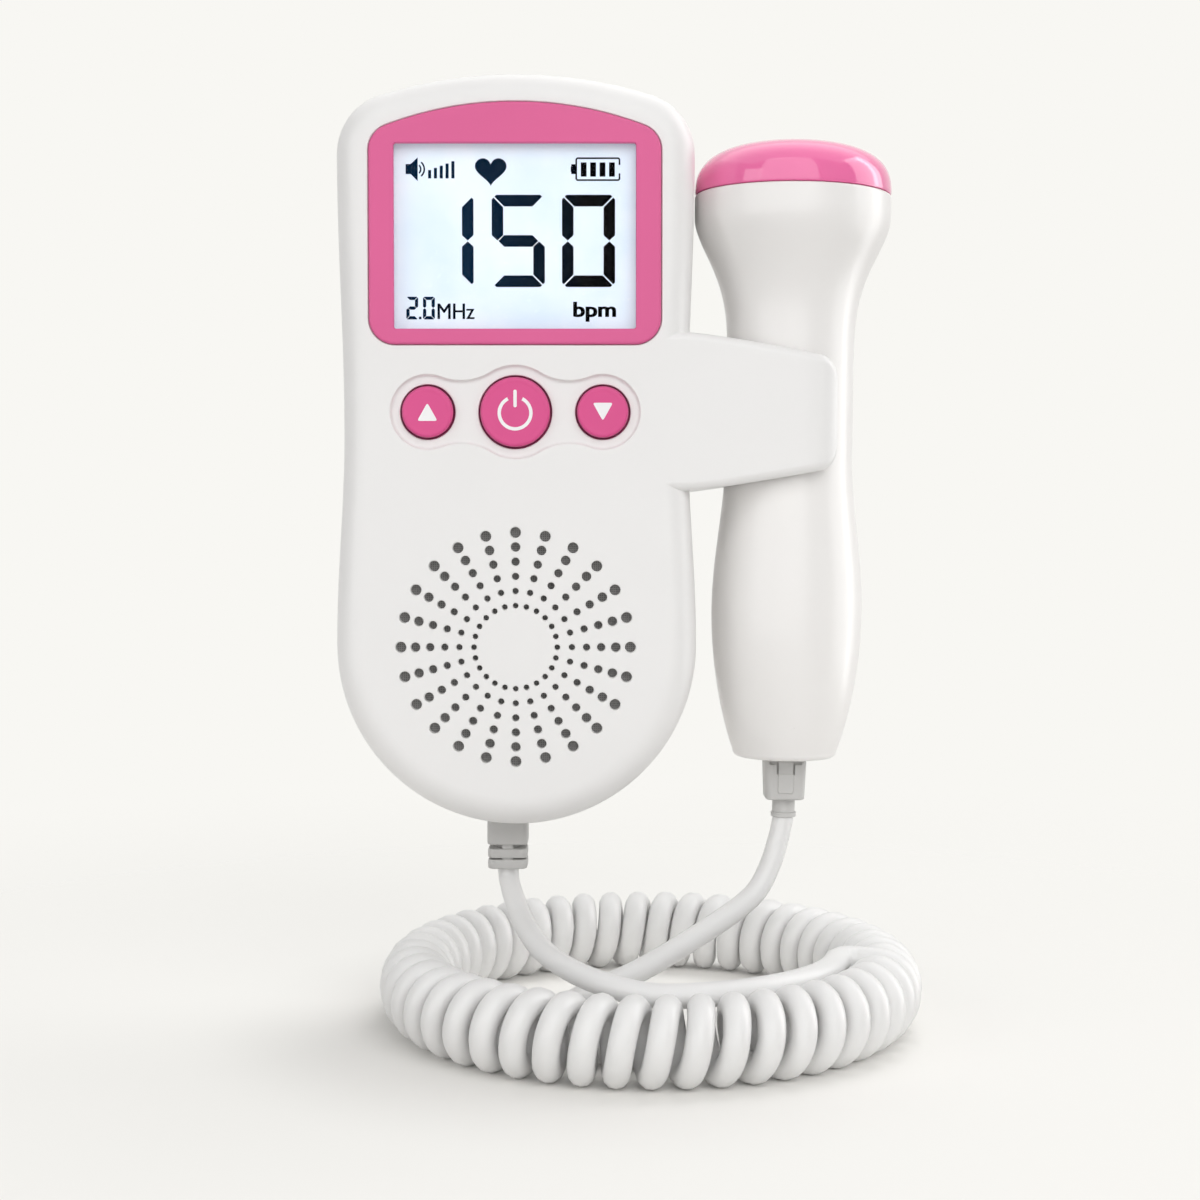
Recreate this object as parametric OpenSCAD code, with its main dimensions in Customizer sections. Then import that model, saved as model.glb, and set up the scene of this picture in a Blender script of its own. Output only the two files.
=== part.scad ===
// Hand-held fetal heart monitor: a display unit with a side clip, a probe that snaps into
// the clip, and a curly cord between them, laid as a ring under the held unit.
// Millimetres, +Z up, front towards -Y. The origin is on the unit's flat back, above its door.

/* [Unit body] */
// Height of the unit
unit_h = 134; // [128:1:145]
// Thickness of the unit, front face to flat back
unit_t = 34; // [33:0.5:38]
// Width across the top shoulders
top_w = 63.8; // [60:0.2:66]
// Width at the waist, where the thumb lies
waist_w = 61.6; // [58:0.2:63]
// Width at the hip, which is also the width of the round bottom
hip_w = 64.6; // [62:0.2:68]
// Height of the waist above the bottom
waist_h = 71; // [62:1:80]
// Radius of the arched top
arch_r = 82; // [70:1:110]
// Radius of the two top corners in front view
corner_r = 11; // [8.5:0.5:12]
// Wall of both shells
wall = 2; // [1.6:0.1:2.4]
// Rounding of the front edge
front_edge_r = 5; // [3.5:0.5:6]
// Rounding of the back edge
back_edge_r = 8; // [5:0.5:8]

// Height of the origin above the bottom, on the flat back between the door and the top
origin_h = 111; // [104:0.5:116]

/* [Display] */
// Width of the coloured bezel
bezel_w = 51.6; // [49:0.2:53]
// Height of the bezel, bottom edge to the top of its arch
bezel_h = 42.5; // [41:0.1:43.5]
// Gap between the top of the bezel and the top of the unit
bezel_top_gap = 5.7; // [5:0.1:7]
// Radius of the bezel's arched top
bezel_arch_r = 65; // [50:1:90]
// Radius of the bezel's corners
bezel_corner_r = 4.6; // [3:0.1:6]
// How far the bezel stands proud of the face
bezel_proud = 0.4; // [0.2:0.1:0.8]
// Depth of the pocket that the bezel is glued into
bezel_pocket = 1.2; // [1:0.1:1.4]
// Width of the viewing window
window_w = 42.7; // [38:0.1:43.5]
// Height of the viewing window
window_h = 32.5; // [28:0.1:33]
// Height of the window's middle above the bezel's bottom edge
window_rise = 19; // [18:0.1:19.5]
// Depth of the window's outer face under the bezel's face
window_recess = 1; // [0.7:0.1:1.1]
// Thickness of the clear window
window_t = 1; // [0.8:0.1:1.2]
// Thickness of the liquid crystal glass
lcd_t = 2; // [1.6:0.1:2.6]

/* [Buttons] */
// Height of the button row above the bottom of the unit
button_h = 73.9; // [72:0.1:75]
// Distance of each side button from the middle
button_pitch = 15.5; // [14.5:0.1:16]
// Diameter of the middle button
power_d = 12.3; // [11:0.1:13]
// Diameter of the side buttons
side_d = 9.05; // [8:0.05:9.6]
// Gap all round a button in its hole
button_gap = 0.2; // [0.15:0.05:0.3]
// How far the buttons stand proud of the face
button_proud = 0.5; // [0.3:0.1:0.9]
// Travel of a button
button_travel = 0.8; // [0.5:0.1:0.9]
// Depth of the lobed recess round the buttons
recess_depth = 0.7; // [0.4:0.1:0.9]
// Rim of the recess outside the middle button's hole
recess_rim = 1.85; // [1.4:0.05:2.2]
// Radius of the hollow blends between the lobes
recess_blend_r = 10; // [8:0.5:12]

/* [Loudspeaker] */
// Height of the grille's middle above the bottom of the unit
grille_h = 32.2; // [31:0.1:34]
// Spokes of holes
grille_spokes = 24; // [16:1:24]
// Rings of holes
grille_rings = 6; // [4:1:6]
// Radius of the innermost ring of holes
grille_r0 = 7.4; // [7:0.1:8]
// Step from ring to ring
grille_step = 2.6; // [2.4:0.05:2.65]
// Diameter of the smallest holes
grille_hole_min = 1; // [0.8:0.05:1.2]
// Diameter of the largest holes
grille_hole_max = 1.95; // [1.7:0.05:2]
// Diameter of the loudspeaker
speaker_d = 45; // [44.6:0.1:46]
// Depth of the loudspeaker
speaker_depth = 10; // [8:0.5:11]

/* [Probe clip] */
// Reach of the prongs from the unit's middle line
arm_reach = 57.3; // [55:0.1:59]
// Height of the clip's upper edge above the bottom of the unit, at its root
arm_top_h = 88.1; // [86:0.1:90]
// Height of the clip's lower edge above the bottom of the unit, at its root
arm_low_h = 60; // [58:0.1:62]
// Height of the upper edge at the prong's tip
arm_tip_top_h = 83.6; // [82:0.1:85]
// Height of the lower edge at the prong's tip
arm_tip_low_h = 64.2; // [63:0.1:66]
// Rounding of the prong's tip in front view
arm_tip_r = 3; // [2:0.1:4]
// Rounding of the prong's outer edges
arm_edge_r = 1.6; // [1:0.1:2]
// Running gap between the clip and the probe's neck
clip_gap = 0.35; // [0.3:0.05:0.5]

/* [Probe] */
// Distance of the probe's axis from the unit's middle line, at the clip
probe_x = 50; // [49.8:0.05:51]
// Lean of the probe in its clip, in degrees
probe_lean = 0.67; // [0:0.01:0.8]
// Radius of the probe's head
head_r = 18; // [17:0.1:18]
// Height of the seam under the cap, above the unit's bottom
seam_h = 114.2; // [112:0.1:116]
// Height of the domed cap above its seam
cap_h = 9.4; // [8:0.1:11]
// Radius of the neck that the clip holds
neck_r = 11.65; // [11.2:0.05:11.8]
// Radius of the grip's bulge
grip_r = 13.9; // [13:0.1:14.5]
// Height of the bulge above the unit's bottom
grip_h = 38; // [34:0.5:40]
// Radius where the tail turns under
tail_r = 8.95; // [8:0.05:9.2]
// Height of the probe's tail above the unit's bottom
tail_h = 10.9; // [9:0.1:13]
// Wall of the probe's shell
probe_wall = 2.2; // [1.8:0.1:2.6]

/* [Batteries] */
// Diameter of one cell
cell_d = 14.2; // [13.8:0.1:14.4]
// Length of one cell with its nub
cell_l = 50.2; // [49.5:0.1:50.5]
// Length of the spring pocket under each cell
spring_l = 3.4; // [3:0.1:4]
// Thickness of the battery door
door_t = 1.8; // [1.6:0.1:2]
// Height of the bay's lower wall above the unit's bottom
bay_low_h = 39; // [37:0.5:41]

/* [Sockets and fastenings] */
// Bore of the headphone socket
jack_bore_d = 3.6; // [3.55:0.05:3.7]
// Height of the headphone socket above the unit's bottom
jack_h = 84; // [80:0.5:88]
// Diameter of a case screw's shank
screw_d = 2.2; // [2:0.1:2.4]
// Diameter of a case screw's head
screw_head_d = 4.4; // [4:0.1:4.6]

/* [Cord] */
// Diameter of the straight leads
lead_d = 3.9; // [3.4:0.1:4]
// Diameter of the wire in the curls
curl_wire_d = 4.5; // [3.8:0.1:4.5]
// Curls in the ring
curls = 47; // [36:1:47]
// Radius of the ring, to the middle of the curls
ring_r = 43; // [43:0.5:46]
// Half the width of one curl, to the middle of the wire
curl_r = 4.6; // [3.6:0.1:4.8]
// Half the height of one curl, to the middle of the wire
curl_h = 5.4; // [4.6:0.1:5.6]
// Height at which the unit is held above the floor
held_h = 38; // [38:0.5:44]

/* [Hidden] */
$fn = 64;

// Seat: the gap left between pieces that rest on each other.
seat = 0.1;
// Cuts run past the faces that they open by this much.
past = 1;
white = "#efedea";
pink = "#e0649a";
grey = "#c2c0be";

// Places of the unit, with z measured from its middle.
bottom_z = -origin_h;
top_z = bottom_z + unit_h;
face_y = -unit_t;
probe_y = -head_r;
front_depth = unit_t - head_r;
hip_r = hip_w / 2;
hip_z = bottom_z + hip_r;
waist_z = bottom_z + waist_h;
corner_x = top_w / 2 - corner_r;
arch_z = top_z - arch_r;
corner_z = arch_z + sqrt(pow(arch_r - corner_r, 2) - pow(corner_x, 2));
floor_z = bottom_z - held_h;

// ---------- outline of the unit, in front view ----------

arc_steps = 14;
side_steps = 9;
corner_steps = 5;
arch_steps = 6;
edge_steps = 5;

// Smooth step from 0 to 1 along a half cosine.
function ease(t) = (1 - cos(180 * t)) / 2;
function half_width(z) =
    z < waist_z
        ? waist_w / 2 + (hip_r - waist_w / 2) * (1 - ease((z - hip_z) / (waist_z - hip_z)))
        : waist_w / 2 + (top_w - waist_w) / 2 * ease((z - waist_z) / (corner_z - waist_z));
function unit2(v) = v / norm(v);
// Outward direction of the side at height z, from its slope over 1 mm.
function side_normal(z) = unit2([1, half_width(z - 0.5) - half_width(z + 0.5)]);
function on_arc(cx, cz, r, a) = [cx + r * cos(a), cz + r * sin(a), cos(a), sin(a)];

// Right half, from the bottom middle to the top middle: [x, z, outward x, outward z].
right_half = [
    for (i = [0 : arc_steps - 1]) on_arc(0, hip_z, hip_r, -90 + 90 * i / arc_steps),
    for (i = [0 : side_steps])
        let (z = hip_z + (corner_z - hip_z) * i / side_steps, n = side_normal(z))
            [half_width(z), z, i == 0 || i == side_steps ? 1 : n[0], i == 0 || i == side_steps ? 0 : n[1]],
    for (i = [1 : corner_steps])
        on_arc(corner_x, corner_z, corner_r, i * atan2(corner_z - arch_z, corner_x) / corner_steps),
    for (i = [1 : arch_steps])
        let (a0 = atan2(corner_z - arch_z, corner_x))
            on_arc(0, arch_z, arch_r, a0 + (90 - a0) * i / arch_steps)
];
unit_loop = [
    each right_half,
    for (i = [len(right_half) - 2 : -1 : 1])
        [-right_half[i][0], right_half[i][1], -right_half[i][2], right_half[i][3]]
];
// The outline drawn in by d, as a flat polygon.
function unit_outline(d) = [for (p = unit_loop) [p[0] - p[2] * d, p[1] - p[3] * d]];
// The same outline as a ring at depth y.
function unit_ring(d, y) = [for (p = unit_outline(d)) [p[0], y, p[1]]];

// ---------- shapes used by many pieces ----------

// A closed skin over a list of rings that all have as many points.
// Seen from the first ring's outer side, each ring runs anticlockwise.
module skin(rings) {
    n = len(rings[0]);
    m = len(rings);
    sides = [
        for (i = [0 : m - 2]) for (j = [0 : n - 1]) let (k = (j + 1) % n)
            each [[i * n + j, i * n + k, (i + 1) * n + k], [i * n + j, (i + 1) * n + k, (i + 1) * n + j]]
    ];
    caps = [[for (j = [n - 1 : -1 : 0]) j], [for (j = [0 : n - 1]) (m - 1) * n + j]];
    polyhedron(points = [for (r = rings) each r], faces = concat(sides, caps), convexity = 8);
}

// A plate drawn in front view, from depth y0 back to depth y1.
module plate(y0, y1) {
    translate([0, y1, 0]) rotate([90, 0, 0]) linear_extrude(y1 - y0) children();
}

// A round peg or bore along Y at (x, z), from depth y0 back to depth y1.
module peg(x, z, r, y0, y1) {
    translate([x, y1, z]) rotate([90, 0, 0]) cylinder(r = r, h = y1 - y0);
}

// A box in front view between two corners, from depth y0 back to depth y1.
module block(x0, x1, y0, y1, z0, z1) {
    translate([x0, y0, z0]) cube([x1 - x0, y1 - y0, z1 - z0]);
}

// Rounded rectangle outline about the origin.
function round_rect(w, h, r) = [
    for (q = [0 : 3]) for (i = [0 : 4])
        let (a = q * 90 + i * 22.5, sx = q == 0 || q == 3 ? 1 : -1, sz = q < 2 ? 1 : -1)
            [sx * (w / 2 - r) + r * cos(a), sz * (h / 2 - r) + r * sin(a)]
];

// Where each case screw stands.
screw_boss_r = screw_d / 2 + 1.6;
screw_x = [20, -20, 25.5, -25.5];
screw_z = [
    for (i = [0 : 3])
        i < 2 ? arch_z + sqrt(pow(arch_r, 2) - pow(screw_x[i], 2)) - wall - screw_boss_r - 0.7
              : hip_z - 10.8
];
screw_seat_y = -6;
screw_l = 24;

// ---------- front shell ----------

bezel_low_z = top_z - bezel_top_gap - bezel_h;
window_z = bezel_low_z + window_rise;
button_z = bottom_z + button_h;
grille_z = bottom_z + grille_h;
lcd_w = window_w + 3.6;
lcd_h = window_h + 3.6;
window_lap = 1;
window_y = face_y - bezel_proud + window_recess;
lcd_y = window_y + window_t + 3 * seat;
board_y = face_y + 8.6;
board_t = 1.6;
speaker_y = face_y + wall + 0.4;
speaker_ring_r = speaker_d / 2 + 0.3;
recess_pad = 0.7;

// Outline of the bezel, drawn out by g: an arched top and four round corners.
function bezel_outline(g) =
    let (
        hw = bezel_w / 2 + g,
        rc = bezel_corner_r + g,
        ra = bezel_arch_r + g,
        low = bezel_low_z - g,
        az = bezel_low_z + bezel_h - bezel_arch_r,
        cx = hw - rc,
        cz = az + sqrt(pow(ra - rc, 2) - pow(cx, 2)),
        a0 = atan2(cz - az, cx),
        half = [
            for (i = [0 : 6]) [cx + rc * cos(-90 + 15 * i), low + rc + rc * sin(-90 + 15 * i)],
            for (i = [0 : 5]) [cx + rc * cos(a0 * i / 5), cz + rc * sin(a0 * i / 5)],
            for (i = [1 : 6]) [ra * cos(a0 + (90 - a0) * i / 6), az + ra * sin(a0 + (90 - a0) * i / 6)]
        ]
    )
    [each half, for (i = [len(half) - 2 : -1 : 0]) [-half[i][0], half[i][1]]];

// Outline of the button recess, drawn out by g: a middle lobe, two side lobes, hollow blends.
function recess_outline(g) =
    let (
        r0 = power_d / 2 + button_gap + recess_rim + g,
        r1 = side_d / 2 + button_gap + recess_rim + g,
        rb = recess_blend_r - g,
        cx = (pow(r0 + rb, 2) - pow(r1 + rb, 2) + pow(button_pitch, 2)) / (2 * button_pitch),
        cz = sqrt(pow(r0 + rb, 2) - pow(cx, 2)),
        a0 = atan2(cz, cx),
        a1 = atan2(cz, cx - button_pitch),
        quarter = [
            for (i = [0 : 5]) let (a = a1 * i / 5) [button_pitch + r1 * cos(a), r1 * sin(a)],
            for (i = [1 : 4]) let (a = a1 + 180 - (a1 - a0) * i / 4) [cx + rb * cos(a), cz + rb * sin(a)],
            for (i = [1 : 4]) let (a = a0 + (90 - a0) * i / 4) [r0 * cos(a), r0 * sin(a)]
        ],
        n = len(quarter)
    )
    [
        each quarter,
        for (i = [n - 2 : -1 : 0]) [-quarter[i][0], quarter[i][1]],
        for (i = [1 : n - 1]) [-quarter[i][0], -quarter[i][1]],
        for (i = [n - 2 : -1 : 1]) [quarter[i][0], -quarter[i][1]]
    ];

// Rings of a rounded edge of radius r, from the flat face at y0 towards depth dir.
function edge_rings(r, y0, dir) = [
    for (i = [0 : edge_steps]) let (a = 90 * i / edge_steps)
        unit_ring(r * (1 - sin(a)), y0 + dir * r * (1 - cos(a)))
];

// Solid of one half of the unit: the front one runs from the face back to the seam.
module front_body() skin(concat(edge_rings(front_edge_r, face_y, 1), [unit_ring(0, probe_y)]));
module rear_body() {
    rings = concat(edge_rings(back_edge_r, 0, -1), [unit_ring(0, probe_y)]);
    skin([for (i = [len(rings) - 1 : -1 : 0]) rings[i]]);
}

// Hollow of one half, with a bevelled inner edge that follows the rounded outer one.
function hollow_rings(r, y0, dir, y_end) = [
    unit_ring(r, y0 + dir * wall),
    unit_ring(wall + 0.3 * (r - wall), y0 + dir * (wall + 0.3 * (r - wall))),
    unit_ring(wall, y0 + dir * r),
    unit_ring(wall, y_end)
];
module front_hollow() skin(hollow_rings(front_edge_r, face_y, 1, probe_y + past));
module rear_hollow() {
    rings = hollow_rings(back_edge_r, 0, -1, probe_y - past);
    skin([for (i = [3 : -1 : 0]) rings[i]]);
}

// One half of the clip, as a loft along X. Its outer face lies depth in front of the seam.
arm_root_x = top_w / 2 - front_edge_r - 3;
arm_bend = 1.6;
prong_min_t = 0.8;
arm_bend_x = arm_reach - 7;
function arm_edge_z(x, root_h, tip_h) =
    bottom_z + root_h + (tip_h - root_h) * pow(max(0, (x - waist_w / 2) / (arm_reach - waist_w / 2)), 1.2);
// How much the rounded tip draws its edges in at x.
function tip_draw(x) =
    let (t = max(0, x - (arm_reach - arm_tip_r)) / arm_tip_r) arm_tip_r * (1 - sqrt(max(0, 1 - t * t)));
function tip_bend(x) = arm_bend * pow(max(0, (x - arm_bend_x) / (arm_reach - arm_bend_x)), 2);
function arm_ring(x, depth) =
    let (
        draw = tip_draw(x),
        top = arm_edge_z(x, arm_top_h, arm_tip_top_h) - draw,
        low = arm_edge_z(x, arm_low_h, arm_tip_low_h) + draw,
        front = min(-depth + tip_bend(x) + draw * 0.35, -clip_r - prong_min_t),
        r = arm_edge_r
    )
    [
        [x, 0, low],
        for (i = [0 : 3]) let (a = 30 * i) [x, front + r - r * sin(a), low + r - r * cos(a)],
        for (i = [0 : 3]) let (a = 30 * i) [x, front + r - r * cos(a), top - r + r * sin(a)],
        [x, 0, top]
    ];
module arm_half(depth) {
    tip = [for (i = [0 : 4]) arm_reach - arm_tip_r * (1 - sin(90 * i / 4))];
    stations = concat([arm_root_x, waist_w / 2, 36, 42, 47, arm_bend_x, arm_bend_x + 2.2], tip);
    difference() {
        skin([for (x = stations) arm_ring(x, depth)]);
        translate([probe_x, 0, bottom_z]) cylinder(r = clip_r, h = unit_h);
        translate([probe_x, -clip_r, bottom_z]) cube([arm_reach, 2 * clip_r, unit_h]);
    }
}

module grille_holes() {
    for (ring = [0 : grille_rings - 1]) {
        share = ring / (grille_rings - 1);
        r = grille_r0 + grille_step * ring;
        d = grille_hole_min + (grille_hole_max - grille_hole_min) * pow(share, 1.3);
        for (k = [0 : grille_spokes - 1])
            peg(r * cos(360 * k / grille_spokes), grille_z + r * sin(360 * k / grille_spokes),
                d / 2, face_y - past, face_y + wall + past);
    }
}

// Passage of the unit's cord through the bottom wall, on the seam.
relief_x = -2.1;
relief_w = 7.5;
relief_neck_r = 2.6;
relief_sink = 0.9;
module relief_passage() {
    translate([relief_x, probe_y, bottom_z - past]) cylinder(r = relief_neck_r + seat, h = wall + 2 * past);
    block(relief_x - relief_w / 2 - seat, relief_x + relief_w / 2 + seat,
        probe_y - relief_w / 2 - seat, probe_y + relief_w / 2 + seat,
        bottom_z - past, bottom_z + relief_sink);
}

jack_z = bottom_z + jack_h;
jack_y = probe_y + 2;
jack_nose_r = 3;
module jack_hole() {
    translate([-top_w / 2 - past, jack_y, jack_z]) rotate([0, 90, 0])
        cylinder(r = jack_nose_r + seat, h = wall + 3);
}

speaker_ring_wall = 1.2;
speaker_ring_h = 3;
// What stands inside the front shell.
module front_inside() {
    // screw posts
    for (i = [0 : 3]) peg(screw_x[i], screw_z[i], screw_boss_r, face_y, probe_y + 2 * past);
    // ring that holds the loudspeaker
    difference() {
        peg(0, grille_z, speaker_ring_r + speaker_ring_wall, face_y, speaker_y + speaker_ring_h);
        peg(0, grille_z, speaker_ring_r, face_y - past, speaker_y + speaker_ring_h + past);
    }
    // pad that keeps the wall whole behind the button recess
    translate([0, 0, button_z]) plate(face_y, face_y + wall + recess_pad) polygon(recess_outline(1.2));
}

module front_shell() color(white) difference() {
    union() {
        front_body();
        translate([0, probe_y, 0]) arm_half(front_depth);
    }
    difference() {
        front_hollow();
        front_inside();
    }
    plate(face_y - past, face_y + bezel_pocket) polygon(bezel_outline(seat));
    block(-lcd_w / 2 - 0.3, lcd_w / 2 + 0.3, face_y, face_y + wall + past,
        window_z - lcd_h / 2 - 0.3, window_z + lcd_h / 2 + 0.3);
    translate([0, 0, button_z]) plate(face_y - past, face_y + recess_depth) polygon(recess_outline(0));
    peg(0, button_z, power_d / 2 + button_gap, face_y - past, face_y + wall + 2 * past);
    for (s = [-1, 1])
        peg(s * button_pitch, button_z, side_d / 2 + button_gap, face_y - past, face_y + wall + 2 * past);
    grille_holes();
    for (i = [0 : 3]) peg(screw_x[i], screw_z[i], screw_d / 2 + 0.03, face_y + 3, probe_y + past);
    relief_passage();
    jack_hole();
}

// ---------- rear cover and battery bay ----------

cell_gap = 0.3;
bay_w = 2 * cell_d + 3 * cell_gap;
bay_wall = 1.2;
contact_t = 0.4;
bay_l = cell_l + spring_l + 2 * contact_t;
bay_low_z = bottom_z + bay_low_h;
bay_top_z = bay_low_z + bay_l;
cell_y = -door_t - cell_gap - cell_d / 2;
bay_floor_y = cell_y - cell_d / 2 - cell_gap;
door_lap = 2;
door_gap = 0.2;
door_low_z = bay_low_z - door_lap;
door_top_z = bay_top_z + door_lap;
door_w = bay_w + 2 * door_lap;
tab_x = 9;
tab_w = 5;
tab_reach = 2;
tab_t = 1.1;
// Outer face of the tabs, under the skin.
tab_y = -door_t - door_gap - 0.1;
// The door turns on the round bead along its upper edge.
bead_r = door_t / 2;
bead_z = door_top_z - bead_r;

// What stands inside the rear cover.
module rear_inside() {
    // walls and floor of the battery bay
    block(-bay_w / 2 - bay_wall, bay_w / 2 + bay_wall, bay_floor_y - bay_wall, 0,
        bay_low_z - bay_wall, bay_top_z + bay_wall);
    // ledge that the door lies on
    block(-door_w / 2 - 1, door_w / 2 + 1, -door_t - door_gap - 1.5, 0, door_low_z - 1, door_top_z + 1);
    // screw posts
    for (i = [0 : 3]) peg(screw_x[i], screw_z[i], screw_head_d / 2 + 1.1, probe_y - 2 * past, 0);
}

module rear_cover() color(white) difference() {
    union() {
        rear_body();
        translate([0, probe_y, 0]) mirror([0, 1, 0]) arm_half(head_r);
    }
    difference() {
        rear_hollow();
        rear_inside();
    }
    block(-bay_w / 2, bay_w / 2, bay_floor_y, past, bay_low_z, bay_top_z);
    block(-door_w / 2 - door_gap, door_w / 2 + door_gap, -door_t - door_gap, past,
        door_low_z - door_gap, door_top_z + door_gap);
    // slots under the skin for the door's two tabs
    for (s = [-1, 1])
        block(s * tab_x - tab_w / 2 - 0.3, s * tab_x + tab_w / 2 + 0.3, tab_y - 3.1,
            tab_y + 0.1, bay_top_z - 2.5, door_top_z + tab_reach + 0.6);
    // notch for the latch
    block(-4.3, 4.3, -door_t - door_gap - 3.6, -door_t, door_low_z - 0.6, bay_low_z + past);
    for (i = [0 : 3]) {
        peg(screw_x[i], screw_z[i], screw_head_d / 2 + 0.2, screw_seat_y, past);
        peg(screw_x[i], screw_z[i], screw_d / 2 + 0.2, probe_y - past, screw_seat_y + past);
    }
    relief_passage();
    jack_hole();
}

module battery_door() color(white) {
    difference() {
        block(-door_w / 2, door_w / 2, -door_t, 0, door_low_z, bead_z);
        // finger grooves over the latch
        for (k = [0 : 4])
            translate([0, 0.55, door_low_z + 5 + 2 * k]) rotate([0, 90, 0])
                cylinder(r = 1, h = 14, center = true);
    }
    translate([-door_w / 2, -bead_r, bead_z]) rotate([0, 90, 0]) cylinder(r = bead_r, h = door_w);
    // tabs that hook under the skin above the door
    for (s = [-1, 1]) {
        block(s * tab_x - tab_w / 2, s * tab_x + tab_w / 2, tab_y - tab_t, tab_y,
            door_top_z - 2.4, door_top_z + tab_reach);
        block(s * tab_x - tab_w / 2, s * tab_x + tab_w / 2, tab_y - tab_t, -door_t / 2,
            door_top_z - 2.4, bead_z);
    }
    // latch tongue
    difference() {
        block(-4, 4, -door_t - 3.2, -door_t, bay_low_z - 1.7, bay_low_z - 0.4);
        block(-2.6, 2.6, -door_t - 2.2, -door_t, bay_low_z - 2, bay_low_z);
    }
}

module battery_cells() color("#4d5358") for (s = [-1, 1]) {
    up = s > 0;
    z0 = up ? bay_low_z + contact_t + spring_l : bay_top_z - contact_t - spring_l;
    translate([s * (cell_d + cell_gap) / 2, cell_y, z0]) mirror([0, 0, up ? 0 : 1])
        rotate_extrude() polygon([
            [0, 0], [cell_d / 2 - 1.4, 0], [cell_d / 2 - 0.6, 0.4], [cell_d / 2, 1],
            [cell_d / 2, cell_l - 2.2], [cell_d / 2 - 0.8, cell_l - 1.4],
            [2.7, cell_l - 1.4], [2.7, cell_l], [0, cell_l]
        ]);
}

// Contact plates in the ends of the bay, each with a cone spring or a flat pad.
module battery_contacts() color("#b9bcc0") for (s = [-1, 1], up = [0, 1]) {
    z = up == 1 ? bay_top_z : bay_low_z;
    x = s * (cell_d + cell_gap) / 2;
    translate([x, 0, z]) mirror([0, 0, up]) {
        block(-5.5, 5.5, cell_y - 5, cell_y + 4, 0, contact_t);
        if ((s > 0) == (up == 0))
            translate([0, cell_y, 0])
                rotate_extrude() polygon([
                    [3, contact_t], [4, contact_t], [2.6, contact_t + spring_l], [1.6, contact_t + spring_l]
                ]);
    }
}

module case_screws() color("#8d9094") for (i = [0 : 3])
    translate([screw_x[i], screw_seat_y, screw_z[i]]) difference() {
        union() {
            rotate([-90, 0, 0]) cylinder(r = screw_head_d / 2, h = 1.6);
            rotate([90, 0, 0]) cylinder(r = screw_d / 2, h = screw_l);
        }
        for (a = [0, 90]) rotate([0, a, 0]) block(-1.3, 1.3, 0.7, 2, -0.25, 0.25);
    }

// ---------- display ----------

module display_bezel() color(pink) difference() {
    union() {
        plate(face_y - bezel_proud + 0.3, face_y + bezel_pocket) polygon(bezel_outline(0));
        plate(face_y - bezel_proud, face_y - bezel_proud + 0.3) polygon(bezel_outline(-0.3));
    }
    translate([0, 0, window_z]) {
        plate(face_y - past, face_y + 3) polygon(round_rect(window_w, window_h, 0.8));
        plate(window_y, face_y + 3)
            polygon(round_rect(window_w + 2 * (window_lap + seat), window_h + 2 * (window_lap + seat), 1));
    }
}
module display_window() color("#dfe9ef") translate([0, 0, window_z])
    plate(window_y, window_y + window_t)
        polygon(round_rect(window_w + 2 * window_lap, window_h + 2 * window_lap, 1));
module lcd_panel() color("#c9d6dc") {
    plate(lcd_y, lcd_y + lcd_t * 0.45) translate([0, window_z]) square([lcd_w, lcd_h - 1.6], center = true);
    plate(lcd_y + lcd_t * 0.45, lcd_y + lcd_t) translate([0, window_z]) square([lcd_w, lcd_h], center = true);
}
module lcd_backlight() color("#f4f4f2") difference() {
    plate(lcd_y + lcd_t, board_y) translate([0, window_z]) square([lcd_w, lcd_h], center = true);
    for (i = [0 : 8]) translate([0, 0, window_z - 16 + 4 * i])
        block(-lcd_w / 2 + 2, lcd_w / 2 - 2, board_y - 1, board_y + past, -1, 1);
}

// ---------- buttons, switches and board ----------

flange_y = face_y + wall + recess_pad + seat;
flange_t = 0.8;
flange_w = 0.8;
stem_y = face_y + 4.6;
stem_r = 1.7;
switch_h = 3.4;
switch_half = 3;

// One button: a domed cap, a flange behind the wall and a post that meets the switch stem.
module button(x, d) translate([x, 0, button_z]) rotate([90, 0, 0]) translate([0, 0, -face_y])
    rotate_extrude() polygon([
        [0, button_proud], [d / 2 - 0.9, button_proud - 0.08], [d / 2 - 0.3, button_proud - 0.3],
        [d / 2, button_proud - 0.8], [d / 2, face_y - flange_y], [d / 2 + flange_w, face_y - flange_y],
        [d / 2 + flange_w, face_y - flange_y - flange_t], [stem_r, face_y - flange_y - flange_t],
        [stem_r, face_y - stem_y], [0, face_y - stem_y]
    ]);
module power_button() color(pink) button(0, power_d);
module up_button() color(pink) button(-button_pitch, side_d);
module down_button() color(pink) button(button_pitch, side_d);

// Stem of a push switch, sunk in the switch body by its travel.
module switch_stem(x) color("#2e2f31") peg(x, button_z, stem_r, stem_y, board_y - switch_h + 1.6);
module power_switch_stem() switch_stem(0);
module up_switch_stem() switch_stem(-button_pitch);
module down_switch_stem() switch_stem(button_pitch);

module switch_bodies() color("#55585c") for (x = [-button_pitch, 0, button_pitch]) difference() {
    block(x - switch_half, x + switch_half, board_y - switch_h, board_y,
        button_z - switch_half, button_z + switch_half);
    peg(x, button_z, stem_r + 0.1, board_y - switch_h - past, board_y - switch_h + 1.6 + button_travel + 0.1);
}

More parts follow.
